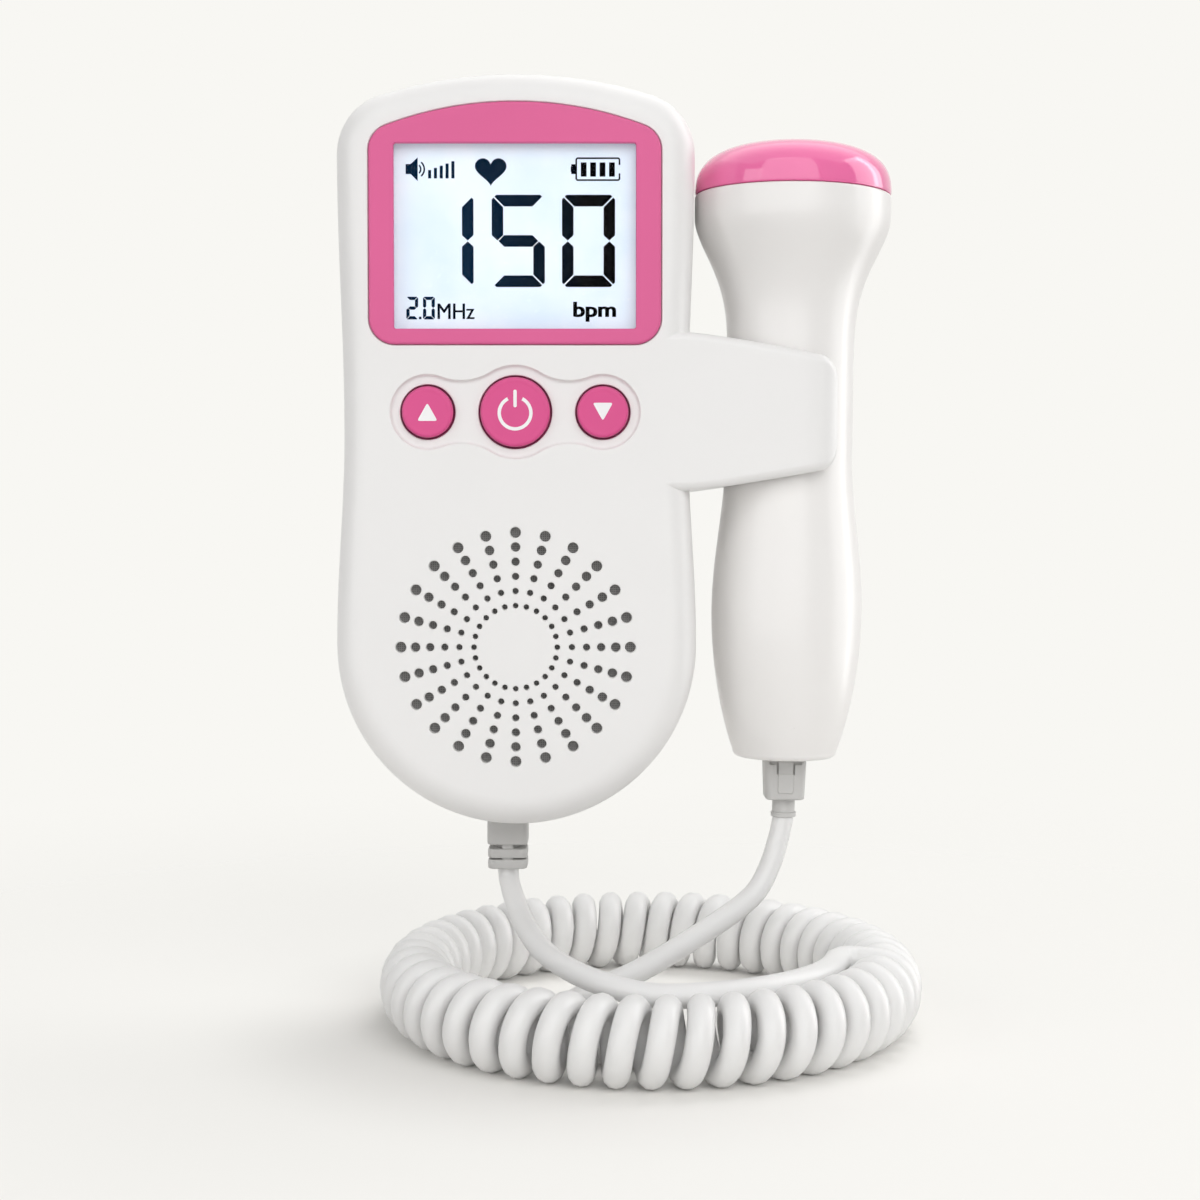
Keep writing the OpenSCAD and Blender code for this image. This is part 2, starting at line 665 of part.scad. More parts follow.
board_low_z = grille_z + speaker_ring_r + 2.2;
module main_board() color("#2f6b47") difference() {
    plate(board_y, board_y + board_t) intersection() {
        polygon(unit_outline(wall + 0.8));
        translate([-unit_h / 2, board_low_z]) square([unit_h, unit_h]);
    }
    for (i = [0 : 1])
        peg(screw_x[i], screw_z[i], screw_boss_r + 0.3, board_y - past, board_y + board_t + past);
}
chip_t = 1.5;
chip_w = 12;
chip_l = 12;
small_chip_w = 7;
small_chip_l = 6;
can_r = 2;
can_h = 4;
can_pitch = 6;
// Processor, amplifier and charge chips, and a row of capacitors, on the back of the board.
module board_parts() {
    y0 = board_y + board_t;
    chip_z = window_z + lcd_h / 6;
    color("#2b2c2e") {
        block(-chip_w / 2, chip_w / 2, y0, y0 + chip_t, chip_z - chip_l / 2, chip_z + chip_l / 2);
        for (s = [-1, 1])
            block(s * chip_w * 1.2 - small_chip_w / 2, s * chip_w * 1.2 + small_chip_w / 2, y0, y0 + chip_t,
                chip_z - small_chip_l / 2, chip_z + small_chip_l / 2);
    }
    color("#b8a06a") for (k = [0 : 3])
        peg((k - 1.5) * can_pitch, chip_z + chip_l / 2 + 2 * can_r, can_r, y0, y0 + can_h);
}
jack_bore_l = 11.8;
jack_body_l = 12;
jack_body_half = 3.5;
module headphone_socket() color("#2d2e30") {
    x0 = -half_width(jack_z) + 0.2;
    difference() {
        union() {
            translate([x0, jack_y, jack_z]) rotate([0, 90, 0]) cylinder(r = jack_nose_r, h = wall + 1);
            block(x0 + wall + 0.4, x0 + wall + 0.4 + jack_body_l, board_y + board_t, jack_y + jack_body_half,
                jack_z - jack_body_half, jack_z + jack_body_half);
        }
        translate([x0 - past, jack_y, jack_z]) rotate([0, 90, 0])
            cylinder(r = jack_bore_d / 2, h = jack_bore_l + past);
    }
}

// ---------- loudspeaker ----------

module on_grille() translate([0, speaker_y, grille_z]) rotate([-90, 0, 0]) children();
module grille_cloth() color("#4a4a4b") peg(0, grille_z, speaker_d / 2, face_y + wall, speaker_y);
frame_lip = 2.6;
coil_r = 6;
basket_r = 13;
magnet_r = 10.5;
magnet_t = 3.4;
dust_cap_r = 3;
module speaker_frame() color("#5d6165") on_grille() rotate_extrude() polygon([
    [speaker_d / 2 - frame_lip, 0], [speaker_d / 2, 0], [speaker_d / 2, 1.2], [speaker_d / 2 - 2, 1.6],
    [basket_r, speaker_depth - magnet_t - 0.8], [basket_r, speaker_depth - magnet_t],
    [coil_r + 0.2, speaker_depth - magnet_t], [coil_r + 0.2, speaker_depth - magnet_t - 1],
    [basket_r - 1, speaker_depth - magnet_t - 1], [speaker_d / 2 - frame_lip, 1.2]
]);
module speaker_cone() color("#303133") on_grille() rotate_extrude() polygon([
    [0, 2.2], [dust_cap_r, 2.6], [coil_r - 0.6, 3.8], [coil_r, 4.4], [speaker_d / 2 - 4, 1],
    [speaker_d / 2 - frame_lip - 0.1, 0.6], [speaker_d / 2 - frame_lip - 0.1, 1], [speaker_d / 2 - 4, 1.5],
    [coil_r, 5], [coil_r, speaker_depth - magnet_t - 0.2], [coil_r - 0.6, speaker_depth - magnet_t - 0.2],
    [coil_r - 0.6, 4.4], [dust_cap_r, 3.2], [0, 2.8]
]);
module speaker_magnet() color("#77797d") on_grille() rotate_extrude() polygon([
    [0, speaker_depth - magnet_t], [magnet_r, speaker_depth - magnet_t], [magnet_r, speaker_depth - 0.4],
    [magnet_r - 0.5, speaker_depth], [0, speaker_depth]
]);

// ---------- probe ----------

probe_pivot_z = bottom_z + (arm_top_h + arm_low_h) / 2;
// Everything in the probe is drawn on its own axis and leans with it.
module on_probe() translate([probe_x, probe_y, probe_pivot_z]) rotate([0, probe_lean, 0])
    translate([0, 0, -probe_pivot_z]) children();
function probe_place(r, z) = [
    probe_x + r * cos(probe_lean) + (z - probe_pivot_z) * sin(probe_lean), probe_y,
    probe_pivot_z + (z - probe_pivot_z) * cos(probe_lean) - r * sin(probe_lean)
];
probe_down = [-sin(probe_lean), 0, -cos(probe_lean)];

seam_z = bottom_z + seam_h;
grip_z = bottom_z + grip_h;
tail_z = bottom_z + tail_h;
neck_low_z = bottom_z + 67.5;
neck_top_z = bottom_z + 81;
flare_top_z = seam_z - 4.1;
// How full the tail is, and how late the flare widens.
tail_bulge = 0.75;
flare_bulge = 2;
tail_round = 1.2;
// Radius of the probe at height z: tail, bulge, neck, then the flare of the head.
function probe_radius(z) =
    z < grip_z
        ? tail_r + (grip_r - tail_r) * pow(max(0, sin(90 * (z - tail_z) / (grip_z - tail_z))), tail_bulge)
    : z < neck_low_z ? grip_r + (neck_r - grip_r) * ease((z - grip_z) / (neck_low_z - grip_z))
    : z < neck_top_z ? neck_r
    : z < flare_top_z
        ? let (s = pow((z - neck_top_z) / (flare_top_z - neck_top_z), flare_bulge))
            neck_r + (head_r - neck_r) * s * s * (3 - 2 * s)
    : head_r;
profile_steps = 44;
function profile_z(i) = tail_z + tail_round + (seam_z - tail_z - tail_round) * i / profile_steps;
shell_line = [
    [tail_r - 1, tail_z], for (i = [0 : profile_steps]) [probe_radius(profile_z(i)), profile_z(i)]
];
// The cap's spigot stands in a straight bore above the hollow.
spigot_l = 3.4;
hollow_top_z = seam_z - spigot_l - 0.9;
hollow_line = [
    for (i = [0 : profile_steps / 2])
        let (z = tail_z + 2 * probe_wall + (hollow_top_z - tail_z - 2 * probe_wall) * i / (profile_steps / 2))
            [probe_radius(z) - probe_wall, z]
];
// Bore of the clip: the widest part of the neck that it holds, and the gap.
clip_r = clip_gap + max([for (h = [arm_low_h : 1 : arm_top_h]) probe_radius(bottom_z + h)]);
module probe_wall_solid() difference() {
    rotate_extrude() polygon(concat([[0, tail_z]], shell_line, [[0, seam_z]]));
    rotate_extrude() polygon(concat(
        [[0, hollow_line[0][1]]], hollow_line,
        [
            [head_r - probe_wall, seam_z - spigot_l - 0.3], [head_r - probe_wall, seam_z + past],
            [0, seam_z + past]
        ]
    ));
    translate([0, 0, tail_z - past]) cylinder(r = sleeve_r + seat, h = 3 * probe_wall + past);
}
sleeve_r = 2.1;
module probe_half(side) color(white) on_probe() intersection() {
    probe_wall_solid();
    translate([-unit_h / 2, side < 0 ? -unit_h / 2 : 0, -unit_h]) cube([unit_h, unit_h / 2, 2 * unit_h]);
}
module probe_shell_front() probe_half(-1);
module probe_shell_rear() probe_half(1);

cap_wall = 1.6;
cap_bulge = 2.8;
// Dome of the cap: a superellipse of radius r and height h.
function dome(r, h, z0) = [
    for (i = [0 : 12]) let (a = 90 * i / 12)
        [r * pow(cos(a), 2 / cap_bulge), z0 + h * pow(sin(a), 2 / cap_bulge)]
];
spigot_r = head_r - probe_wall - seat;
spigot_wall = 1.2;
// Groove of the seal ring in the spigot.
groove_t = 0.8;
groove_top = 1.2;
groove_low = 2.4;
module probe_cap() color(pink) on_probe() rotate_extrude() polygon(concat(
    [for (p = dome(head_r, cap_h, seam_z)) [max(0, p[0]), p[1]]],
    [
        for (i = [12 : -1 : 0]) let (p = dome(head_r - cap_wall, cap_h - cap_wall, seam_z)[i])
            [p[0] < 0.01 ? 0 : p[0], p[1]]
    ],
    [
        [spigot_r - spigot_wall, seam_z], [spigot_r - spigot_wall, seam_z - spigot_l],
        [spigot_r, seam_z - spigot_l], [spigot_r, seam_z - groove_low],
        [spigot_r - groove_t, seam_z - groove_low], [spigot_r - groove_t, seam_z - groove_top],
        [spigot_r, seam_z - groove_top], [spigot_r, seam_z]
    ]
));
module probe_seal_ring() color("#3a3a3c") on_probe() translate([0, 0, seam_z - 1.8]) rotate_extrude()
    translate([spigot_r - 0.35, 0]) circle(r = 0.42);

crystal_r = 11;
crystal_t = 2;
crystal_z = seam_z + cap_h - cap_wall - 2.4 - crystal_t;
backing_t = 5;
module probe_crystals() color("#c8b48a") on_probe() for (s = [0, 1]) mirror([s, 0, 0])
    translate([0, 0, crystal_z]) difference() {
        cylinder(r = crystal_r, h = crystal_t);
        translate([-crystal_r - past, -crystal_r - past, -past])
            cube([crystal_r + past + 0.5, 2 * crystal_r + 2, crystal_t + 2]);
    }
module crystal_backing() color("#8a8d90") on_probe() translate([0, 0, crystal_z - backing_t])
    cylinder(r = crystal_r + 1, h = backing_t);
module probe_board() color("#2f6b47") on_probe() translate([0, 0, crystal_z - backing_t - 1.6])
    cylinder(r = spigot_r - 1.4, h = 1.6);

// The probe's strain relief: a tapered block with a raised panel, then a sleeve and a collar.
probe_block_l = 7.3;
sleeve_l = 3.4;
module probe_strain_relief() color(grey) on_probe() {
    difference() {
        skin([for (k = [0, 1]) let (w = 7.2 + 0.6 * k, z = tail_z - 0.5 - probe_block_l * (1 - k))
            [for (p = round_rect(w, w, 1.3)) [p[0], -p[1], z]]]);
        // slots at the top of the front face, beside the raised panel
        for (s = [-1, 1]) {
            block(s * 1.5 - 0.2, s * 1.5 + 0.2, -5, -3.2, tail_z - 3, tail_z);
            block(s * 2.3 - 0.7, s * 2.3 + 0.7, -5, -3.2, tail_z - 1.2, tail_z);
        }
    }
    block(-1.45, 1.45, -3.95, -3, tail_z - 6.6, tail_z - 2.8);
    translate([0, 0, tail_z - 0.5 - probe_block_l - sleeve_l]) cylinder(r = sleeve_r, h = sleeve_l + 0.1);
    translate([0, 0, tail_z - 0.5 - probe_block_l - sleeve_l]) cylinder(r = sleeve_r + 0.25, h = 0.9);
    translate([0, 0, tail_z - 0.6]) cylinder(r = sleeve_r, h = 2 * probe_wall + 1.4);
    translate([0, 0, tail_z + 2 * probe_wall + 0.3]) cylinder(r = 3.6, h = 1.2);
}
probe_lead_exit = probe_place(0, tail_z - 0.5 - probe_block_l - sleeve_l);

// ---------- strain relief and cords ----------

relief_block_l = 5.2;
relief_l = 9.7;
// The unit's strain relief: a square block, then two thin collars on a narrow web.
module unit_strain_relief() color(grey) translate([relief_x, probe_y, 0]) {
    w = relief_w;
    translate([0, 0, bottom_z - relief_block_l]) linear_extrude(relief_block_l + relief_sink - seat)
        polygon(round_rect(w, w, 1.2));
    translate([0, 0, bottom_z]) cylinder(r = relief_neck_r, h = wall + 1.2);
    translate([0, 0, bottom_z + wall + 1]) cylinder(r = 4, h = 1.4);
    for (z = [bottom_z - 7.7, bottom_z - relief_l])
        translate([0, 0, z]) linear_extrude(1.8) polygon(round_rect(w - 0.2, w - 0.2, 1.2));
    web_l = relief_l - relief_block_l + 0.2;
    translate([0, 0, bottom_z - relief_l]) linear_extrude(web_l) polygon(round_rect(2.2, w - 1, 0.5));
    translate([0, 0, bottom_z - relief_l]) cylinder(r = lead_d / 2 + 0.2, h = web_l);
}

function dir(v) = v / norm(v);
// Direction of travel at point i of a route, with given directions at its two ends.
function heading(route, i, first, last) =
    i == 0 ? dir(first) : i == len(route) - 1 ? dir(last)
        : dir(dir(route[i + 1] - route[i]) + dir(route[i] - route[i - 1]));
// Sideways directions carried along the route without twist.
function carry(n, t) = dir(n - t * (n * t));
function sideways(route, first, last, i = 0, n = [0, 1, 0.02], done = []) =
    i == len(route) ? done
        : let (m = carry(n, heading(route, i, first, last)))
            sideways(route, first, last, i + 1, m, concat(done, [m]));
function tube_ring(p, t, n, r, sides) =
    let (b = cross(n, t))
        [for (k = [0 : sides - 1]) let (a = 360 * k / sides) p + r * (cos(a) * n + sin(a) * b)];
// A lead of radius r0 at its start and r1 at its end, swept along a route.
module lead(route, r0, r1, first, last) {
    n = sideways(route, first, last);
    m = len(route) - 1;
    skin([
        for (i = [0 : m]) tube_ring(route[i], heading(route, i, first, last), n[i], r0 + (r1 - r0) * i / m, 8)
    ]);
}

// The ring of curls: the wire goes over the top outwards, down outside and back in underneath,
// and each curl lies one step further clockwise.
ring_x = 24.3;
ring_y = -20.2;
// The ring is a little longer from front to back than it is wide.
ring_stretch = 1.05;
curl_step = 353 / curls;
ring_start = -14.5;
ring_z = floor_z + curl_h + curl_wire_d / 2;
function curl_point(u) =
    let (a = ring_start - curl_step * u, f = -360 * u, r = ring_r + curl_r * cos(f))
        [ring_x + r * cos(a), ring_y + ring_stretch * r * sin(a), ring_z + curl_h * sin(f)];
function curl_heading(u) = dir(curl_point(u + 0.01) - curl_point(u - 0.01));
curl_turns = curls + 0.25;
// The ring starts this part of a curl early, where the wire goes over the top.
curl_lead_in = 0.25;
curl_rings = 8;
curl_first = curl_point(-curl_lead_in) - curl_heading(-curl_lead_in) * curl_wire_d;
curl_last = curl_point(curl_turns) + curl_heading(curl_turns) * curl_wire_d;
curl_path = [
    curl_first,
    for (i = [0 : (curl_turns + curl_lead_in) * curl_rings]) curl_point(i / curl_rings - curl_lead_in),
    curl_last
];
// Curls from the ring's start to point i of the path.
function curl_at(i) = max(-curl_lead_in, min(curl_turns, (i - 1) / curl_rings - curl_lead_in));
function curl_way(i) = curl_heading(curl_at(i));
function curl_side(i) =
    let (a = ring_start - curl_step * curl_at(i)) carry([-sin(a), cos(a), 0], curl_way(i));
// Least gap between wires that lie side by side, from curl to curl and where the ring closes.
curl_gap = min([
    for (i = [0 : len(curl_path) - 6]) for (j = [i + 5 : len(curl_path) - 1])
        norm(curl_path[i] - curl_path[j])
]) - curl_wire_d;
module curly_cord() {
    echo(least_gap_between_curls = curl_gap);
    color(white) skin([
        for (i = [0 : len(curl_path) - 1])
            tube_ring(curl_path[i], curl_way(i), curl_side(i), curl_wire_d / 2, 6)
    ]);
}

// Routes of the two straight leads, through the air and over the ring, then on the floor in it.
function over_floor(x, y, h) = [x, y, floor_z + h];
unit_route = [
    [relief_x, probe_y, bottom_z - relief_l], over_floor(-1.8, -19, 25.5), over_floor(-0.5, -23.5, 22.5),
    over_floor(1.6, -31.2, 19.7), over_floor(5, -40.6, 17.3), over_floor(10.1, -48.6, 15.6),
    over_floor(16.8, -54.6, 14.3), over_floor(24.3, -57.2, 13.3), over_floor(33.4, -56, 13.2),
    over_floor(41.9, -52.2, 13.2), over_floor(48.8, -46.8, 13.2), over_floor(53.5, -40.9, 13.2),
    over_floor(56.4, -35.2, 13.2), over_floor(57.3, -31.6, 13.2), over_floor(58.4, -29.1, 13.2),
    over_floor(59.9, -27.9, 13.1), curl_first
];
probe_route = [
    probe_lead_exit, over_floor(48.2, -18.4, 33.5), over_floor(46.5, -19.4, 28.5),
    over_floor(43.8, -21.4, 24.1), over_floor(39, -24, 20.5), over_floor(32.6, -28, 17.2),
    over_floor(26.5, -32, 14.3), over_floor(21, -35.6, 12.1), over_floor(15.5, -38.5, 10.3),
    over_floor(10.4, -40.8, 8.3), over_floor(7.2, -44, 5.7), over_floor(9.2, -48.3, 3.5),
    over_floor(15.5, -51.8, 2.3), over_floor(24.3, -53.4, 2.2), over_floor(34, -52.4, 2.2),
    over_floor(43, -48, 2.2), over_floor(50, -42, 2.2), over_floor(54.4, -35.5, 2.25),
    over_floor(57.4, -28.9, 2.25), curl_last
];
module unit_cord() color(white)
    lead(unit_route, lead_d / 2, curl_wire_d / 2, [0, 0, -1], curl_heading(-curl_lead_in));
module probe_cord() color(white)
    lead(probe_route, lead_d / 2, curl_wire_d / 2, probe_down, -curl_heading(curl_turns));

front_shell();
rear_cover();
display_bezel();
display_window();
lcd_panel();
lcd_backlight();
power_button();
up_button();
down_button();
power_switch_stem();
up_switch_stem();
down_switch_stem();
switch_bodies();
main_board();
board_parts();
grille_cloth();
speaker_frame();
speaker_cone();
speaker_magnet();
battery_cells();
battery_contacts();
battery_door();
case_screws();
headphone_socket();
unit_strain_relief();
unit_cord();
curly_cord();
probe_cord();
probe_strain_relief();
probe_shell_front();
probe_shell_rear();
probe_cap();
probe_seal_ring();
probe_crystals();
crystal_backing();
probe_board();
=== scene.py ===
# %% [markdown]
# # A hand-held fetal heart monitor
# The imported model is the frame: every piece made here sits where its solid sits, with +Z up
# and the display facing -Y. The cells below first set the camera and the light, then the
# cords, and then dress the unit and the probe piece by piece.

# %% The frame
import math

import bmesh
import bpy
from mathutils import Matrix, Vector


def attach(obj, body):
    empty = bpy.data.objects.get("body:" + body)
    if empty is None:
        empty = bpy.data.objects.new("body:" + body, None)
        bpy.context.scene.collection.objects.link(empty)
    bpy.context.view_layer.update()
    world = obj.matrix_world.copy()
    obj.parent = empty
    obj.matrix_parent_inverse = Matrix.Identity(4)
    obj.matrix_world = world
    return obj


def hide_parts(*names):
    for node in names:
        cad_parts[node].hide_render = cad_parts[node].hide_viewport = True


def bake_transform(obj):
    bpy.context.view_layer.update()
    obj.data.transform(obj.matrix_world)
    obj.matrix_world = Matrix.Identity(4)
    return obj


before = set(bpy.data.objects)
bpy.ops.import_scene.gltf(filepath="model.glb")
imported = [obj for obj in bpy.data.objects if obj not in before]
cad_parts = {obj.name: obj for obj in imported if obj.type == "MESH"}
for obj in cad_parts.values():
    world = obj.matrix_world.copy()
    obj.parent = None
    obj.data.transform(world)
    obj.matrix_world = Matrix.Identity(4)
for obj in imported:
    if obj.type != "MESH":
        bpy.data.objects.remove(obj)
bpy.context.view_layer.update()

# %% [markdown]
# The same few sizes place almost everything, so they are written once here. All sizes of
# the object are in millimetres, as in the part's source, and become metres when a piece is
# made. Heights are counted from the bottom of the unit.

# %% Sizes that the pieces share, in millimetres
MM = 0.001
RIGHT = math.pi / 2
BOTTOM = -111
TOP = BOTTOM + 134
FACE, SEAM, WALL = -34, -18, 2
FLOOR = BOTTOM - 38


def up(h):
    """The z of a height above the bottom of the unit."""
    return BOTTOM + h


HIP_R, WAIST_W, SHOULDER_W = 32.3, 61.6, 63.8
HIP_Z, WAIST_Z = BOTTOM + HIP_R, up(71)
ARCH_R, CORNER_R = 82, 11
ARCH_Z = TOP - ARCH_R
CORNER_X = SHOULDER_W / 2 - CORNER_R
CORNER_Z = ARCH_Z + math.sqrt((ARCH_R - CORNER_R) ** 2 - CORNER_X**2)
BUTTON_Z, GRILLE_Z, WINDOW_Z = up(73.9), up(32.2), -6.2
PITCH, POWER_R, SIDE_R = 15.5, 6.15, 4.525
RING_X, RING_Y, RING_R, RING_STRETCH = 24.3, -20.2, 43, 1.05
print("shoulder corner centre", round(CORNER_X, 1), round(CORNER_Z, 1))

# %% [markdown]
# ## Camera
# The unit is seen straight on, from a little below its middle, and the ring of cord from
# above. That fixes the eye: 93 mm over the floor and about 39 cm away, on a 60 mm lens.

# %% Camera
def placed(name, data):
    """A new object of the scene with this data."""
    made = bpy.data.objects.new(name, data)
    bpy.context.scene.collection.objects.link(made)
    return made


TILT_DOWN = 2.39
eye = bpy.data.cameras.new("eye")
eye.lens = 60.3
eye.sensor_width = 36
eye.clip_start, eye.clip_end = 0.01, 20
camera = placed("camera", eye)
camera.location = Vector((15, -390.5, up(55.5))) * MM
camera.rotation_euler = (math.radians(90 - TILT_DOWN), 0, 0)
bpy.context.scene.camera = camera
print("camera at", tuple(round(c, 4) for c in camera.location))


# %% [markdown]
# ## Shader graphs
# A finish is a small graph of nodes. The tools below add one node with its inputs, and the
# four steps that almost every finish needs: noise on the object, a ramp of two colours, a
# range of values, and a bump.

# %% Tools for shader graphs
def add(tree, kind, inputs=None, **settings):
    """A new node: each input is set, or linked when it is given another node's output."""
    made = tree.nodes.new("ShaderNode" + kind)
    for name, value in settings.items():
        setattr(made, name, value)
    for name, value in (inputs or {}).items():
        if isinstance(value, bpy.types.NodeSocket):
            tree.links.new(value, made.inputs[name])
        else:
            made.inputs[name].default_value = value
    return made.outputs


def new_material(name):
    material = bpy.data.materials.new(name)
    material.use_nodes = True
    material.node_tree.nodes.clear()
    return material, material.node_tree


def surface(tree, inputs):
    """The principled shader with these inputs, as the material's surface."""
    add(tree, "OutputMaterial", {0: add(tree, "BsdfPrincipled", inputs)[0]})


def grain(tree, scale, detail=3.0, rough=0.55):
    """Noise on Object coordinates: scale is features per metre."""
    place = add(tree, "TexCoord")["Object"]
    return add(tree, "TexNoise", {"Vector": place, "Scale": scale, "Detail": detail,
                                  "Roughness": rough})["Fac"]


def ramp(tree, source, low, high, a, b):
    """A colour that goes from a at low to b at high."""
    band = tree.nodes.new("ShaderNodeValToRGB")
    for stop, place, colour in zip(band.color_ramp.elements, (low, high), (a, b)):
        stop.position, stop.color = place, (*colour, 1)
    tree.links.new(source, band.inputs["Fac"])
    return band.outputs["Color"]


def span(tree, source, low, high, start=0.0, end=1.0, kind="LINEAR"):
    """Maps start to end onto low to high."""
    return add(tree, "MapRange", {"Value": source, "From Min": start, "From Max": end,
                                  "To Min": low, "To Max": high}, interpolation_type=kind)["Result"]


def maths(tree, operation, a, b):
    return add(tree, "Math", {0: a, 1: b}, operation=operation)[0]


def bump(tree, height, strength, depth):
    return add(tree, "Bump", {"Height": height, "Strength": strength, "Distance": depth})["Normal"]


# %% [markdown]
# ## Light, floor and background
# Product light: a large soft box in front and to the right, one overhead that draws the
# bright line along every upper edge, a weaker one on the left, a narrow strip behind on the
# right, and an even pale surround. The surround is brighter for the camera than it is as a
# lamp, so the white plastic keeps its own tone in front of it. Seen at a slant, an edge
# mirrors what stands behind the object, so there the surround is bright for mirrors too.

# %% World
BACKGROUND = (0.939, 0.930, 0.896, 1)
world = bpy.data.worlds.new("surround")
bpy.context.scene.world = world
world.use_nodes = True
sky = world.node_tree
sky.nodes.clear()
as_lamp = add(sky, "Background", {"Color": (1.0, 0.998, 0.994, 1), "Strength": 0.47})[0]
as_seen = add(sky, "Background", {"Color": BACKGROUND, "Strength": 1.0})[0]
ray = add(sky, "LightPath")
towards = add(sky, "SeparateXYZ", {0: add(sky, "TexCoord")["Generated"]})
behind = span(sky, towards["Y"], 0.0, 1.0, -0.2, 0.5, "SMOOTHSTEP")
mirrored_behind = maths(sky, "MULTIPLY", ray["Is Glossy Ray"], behind)
seen = maths(sky, "MAXIMUM", ray["Is Camera Ray"], ray["Is Transmission Ray"])
either = maths(sky, "MAXIMUM", seen, mirrored_behind)
add(sky, "OutputWorld", {0: add(sky, "MixShader", {0: either, 1: as_lamp, 2: as_seen})[0]})
print("surround:", len(sky.nodes), "nodes")

# %% [markdown]
# Lamps and their mirror images are set apart. The two strongest boxes light the object but
# are not mirrored in it. Three white cards are there only to be mirrored: they draw the
# upright bands on the glossy cap and the pale veil along the probe.

# %% Lamps
MIDDLE = (0.02, -0.02, up(50) * MM)
WARM = (1, 0.998, 0.995)


def soft_box(name, place, aim, width, height, power, colour=(1, 1, 1), mirrored=True, lights=True):
    """A rectangular lamp at place, aimed at a point; in metres and watts."""
    lamp = bpy.data.lights.new(name, "AREA")
    lamp.shape = "RECTANGLE"
    lamp.size, lamp.size_y = width, height
    lamp.energy = power
    lamp.color = colour
    holder = placed(name, lamp)
    holder.visible_glossy = mirrored
    holder.visible_diffuse = lights
    holder.location = place
    holder.rotation_euler = (Vector(aim) - Vector(place)).to_track_quat("-Z", "Y").to_euler()
    print(name, "at", place, power, "W")


soft_box("front_box", (0.34, -0.72, 0.42), MIDDLE, 0.70, 0.60, 3.45, WARM, mirrored=False)
soft_box("edge_strip", (0.60, 0.14, 0.10), MIDDLE, 0.08, 0.80, 0.45)
soft_box("left_box", (-0.60, -0.50, 0.08), MIDDLE, 0.30, 0.60, 1.0)
soft_box("top_box", (0.22, 0.26, 0.58), MIDDLE, 0.45, 0.40, 2.0, WARM, mirrored=False)
soft_box("front_card", (-0.113, -0.91, 0.65), (0.02, -0.02, 0.65), 1.24, 1.8, 10.5, lights=False)
soft_box("right_card", (0.746, 0.055, 0.25), (0.05, -0.018, 0.25), 0.62, 1.1, 4.7, lights=False)
soft_box("top_card", (0.05, 0.10, 0.85), (0.05, 0.10, 0.0), 1.9, 1.3, 4.6, lights=False)

# %% [markdown]
# The floor must keep the soft shadow under the ring, and yet run into the background with
# no horizon. Under the ring it is a pale matt sheet. From the ring's edge on, a growing
# share of what the camera sees of it is the background's own colour, and further out the
# sheet turns clear.

# %% Floor
bpy.ops.object.select_all(action="DESELECT")
bpy.ops.mesh.primitive_plane_add(size=6, location=Vector((RING_X, RING_Y, FLOOR - 0.05)) * MM)
floor = bpy.context.object
floor.name = "floor"
bpy.ops.object.transform_apply(location=True, rotation=False, scale=True)
sheet, tree = new_material("pale_floor")
far = add(tree, "VectorMath", {0: add(tree, "TexCoord")["Object"], 1: Vector((RING_X, RING_Y, FLOOR)) * MM},
          operation="DISTANCE")["Value"]
clear_share = span(tree, far, 0.0, 1.0, 0.07, 0.34, "SMOOTHSTEP")
glow_share = span(tree, far, 0.05, 0.65, 0.05, 0.088, "SMOOTHSTEP")
cloth_tone = ramp(tree, grain(tree, 9, 2), 0.3, 0.7, (0.905, 0.893, 0.865), (0.925, 0.913, 0.885))
matt = add(tree, "BsdfDiffuse", {"Color": cloth_tone})[0]
glow = add(tree, "Emission", {"Color": BACKGROUND})[0]
for_camera = maths(tree, "MULTIPLY", add(tree, "LightPath")["Is Camera Ray"], glow_share)
lit = add(tree, "MixShader", {0: for_camera, 1: matt, 2: glow})[0]
clear = add(tree, "BsdfTransparent")[0]
add(tree, "OutputMaterial", {0: add(tree, "MixShader", {0: clear_share, 1: lit, 2: clear})[0]})
floor.data.materials.append(sheet)
bpy.context.scene.view_settings.view_transform = "Standard"
print("floor at z", round(FLOOR * MM, 3))

# %% [markdown]
# ## The cord
# One jacketed cable runs from the unit to the probe. Its middle was wound hot on a rod, so
# it stays a spring: here it lies on the floor as a ring of 47 curls, and the two straight
# ends rise to the unit and the probe. A curve with a round bevel is the natural tool: the
# points give the lie of the cable and the bevel gives it its thickness.

# %% Route of the curls
CURL_R, CURL_H, WIRE = 4.6, 5.4, 4.7
CURLS, RING_START, RING_SWEEP = 47, -14.5, 353
CURL_START, CURL_TURNS = -0.25, CURLS + 0.25
RING_Z = FLOOR + CURL_H + 2.25
PER_CURL, LEAD_IN = 24, 4.5


def curl_point(turn):
    """The middle of the wire, turn curls from where the ring starts."""
    round_ring = math.radians(RING_START - RING_SWEEP / CURLS * turn)
    round_curl = -2 * math.pi * turn
    r = RING_R + CURL_R * math.cos(round_curl)
    return Vector((RING_X + r * math.cos(round_ring), RING_Y + RING_STRETCH * r * math.sin(round_ring),
                   RING_Z + CURL_H * math.sin(round_curl)))


def curl_way(turn):
    return (curl_point(turn + 0.01) - curl_point(turn - 0.01)).normalized()


def length_of(points):
    """The length of a line through points, in metres."""
    return sum((b - a).length for a, b in zip(points, points[1:])) * MM


ring_first = curl_point(CURL_START) - curl_way(CURL_START) * LEAD_IN
ring_last = curl_point(CURL_TURNS) + curl_way(CURL_TURNS) * LEAD_IN
steps = round((CURL_TURNS - CURL_START) * PER_CURL)
curl_line = [ring_first] + [curl_point(CURL_START + i / PER_CURL) for i in range(steps + 1)] + [ring_last]
print("wire in the curls: %.3f m" % length_of(curl_line), "points:", len(curl_line))


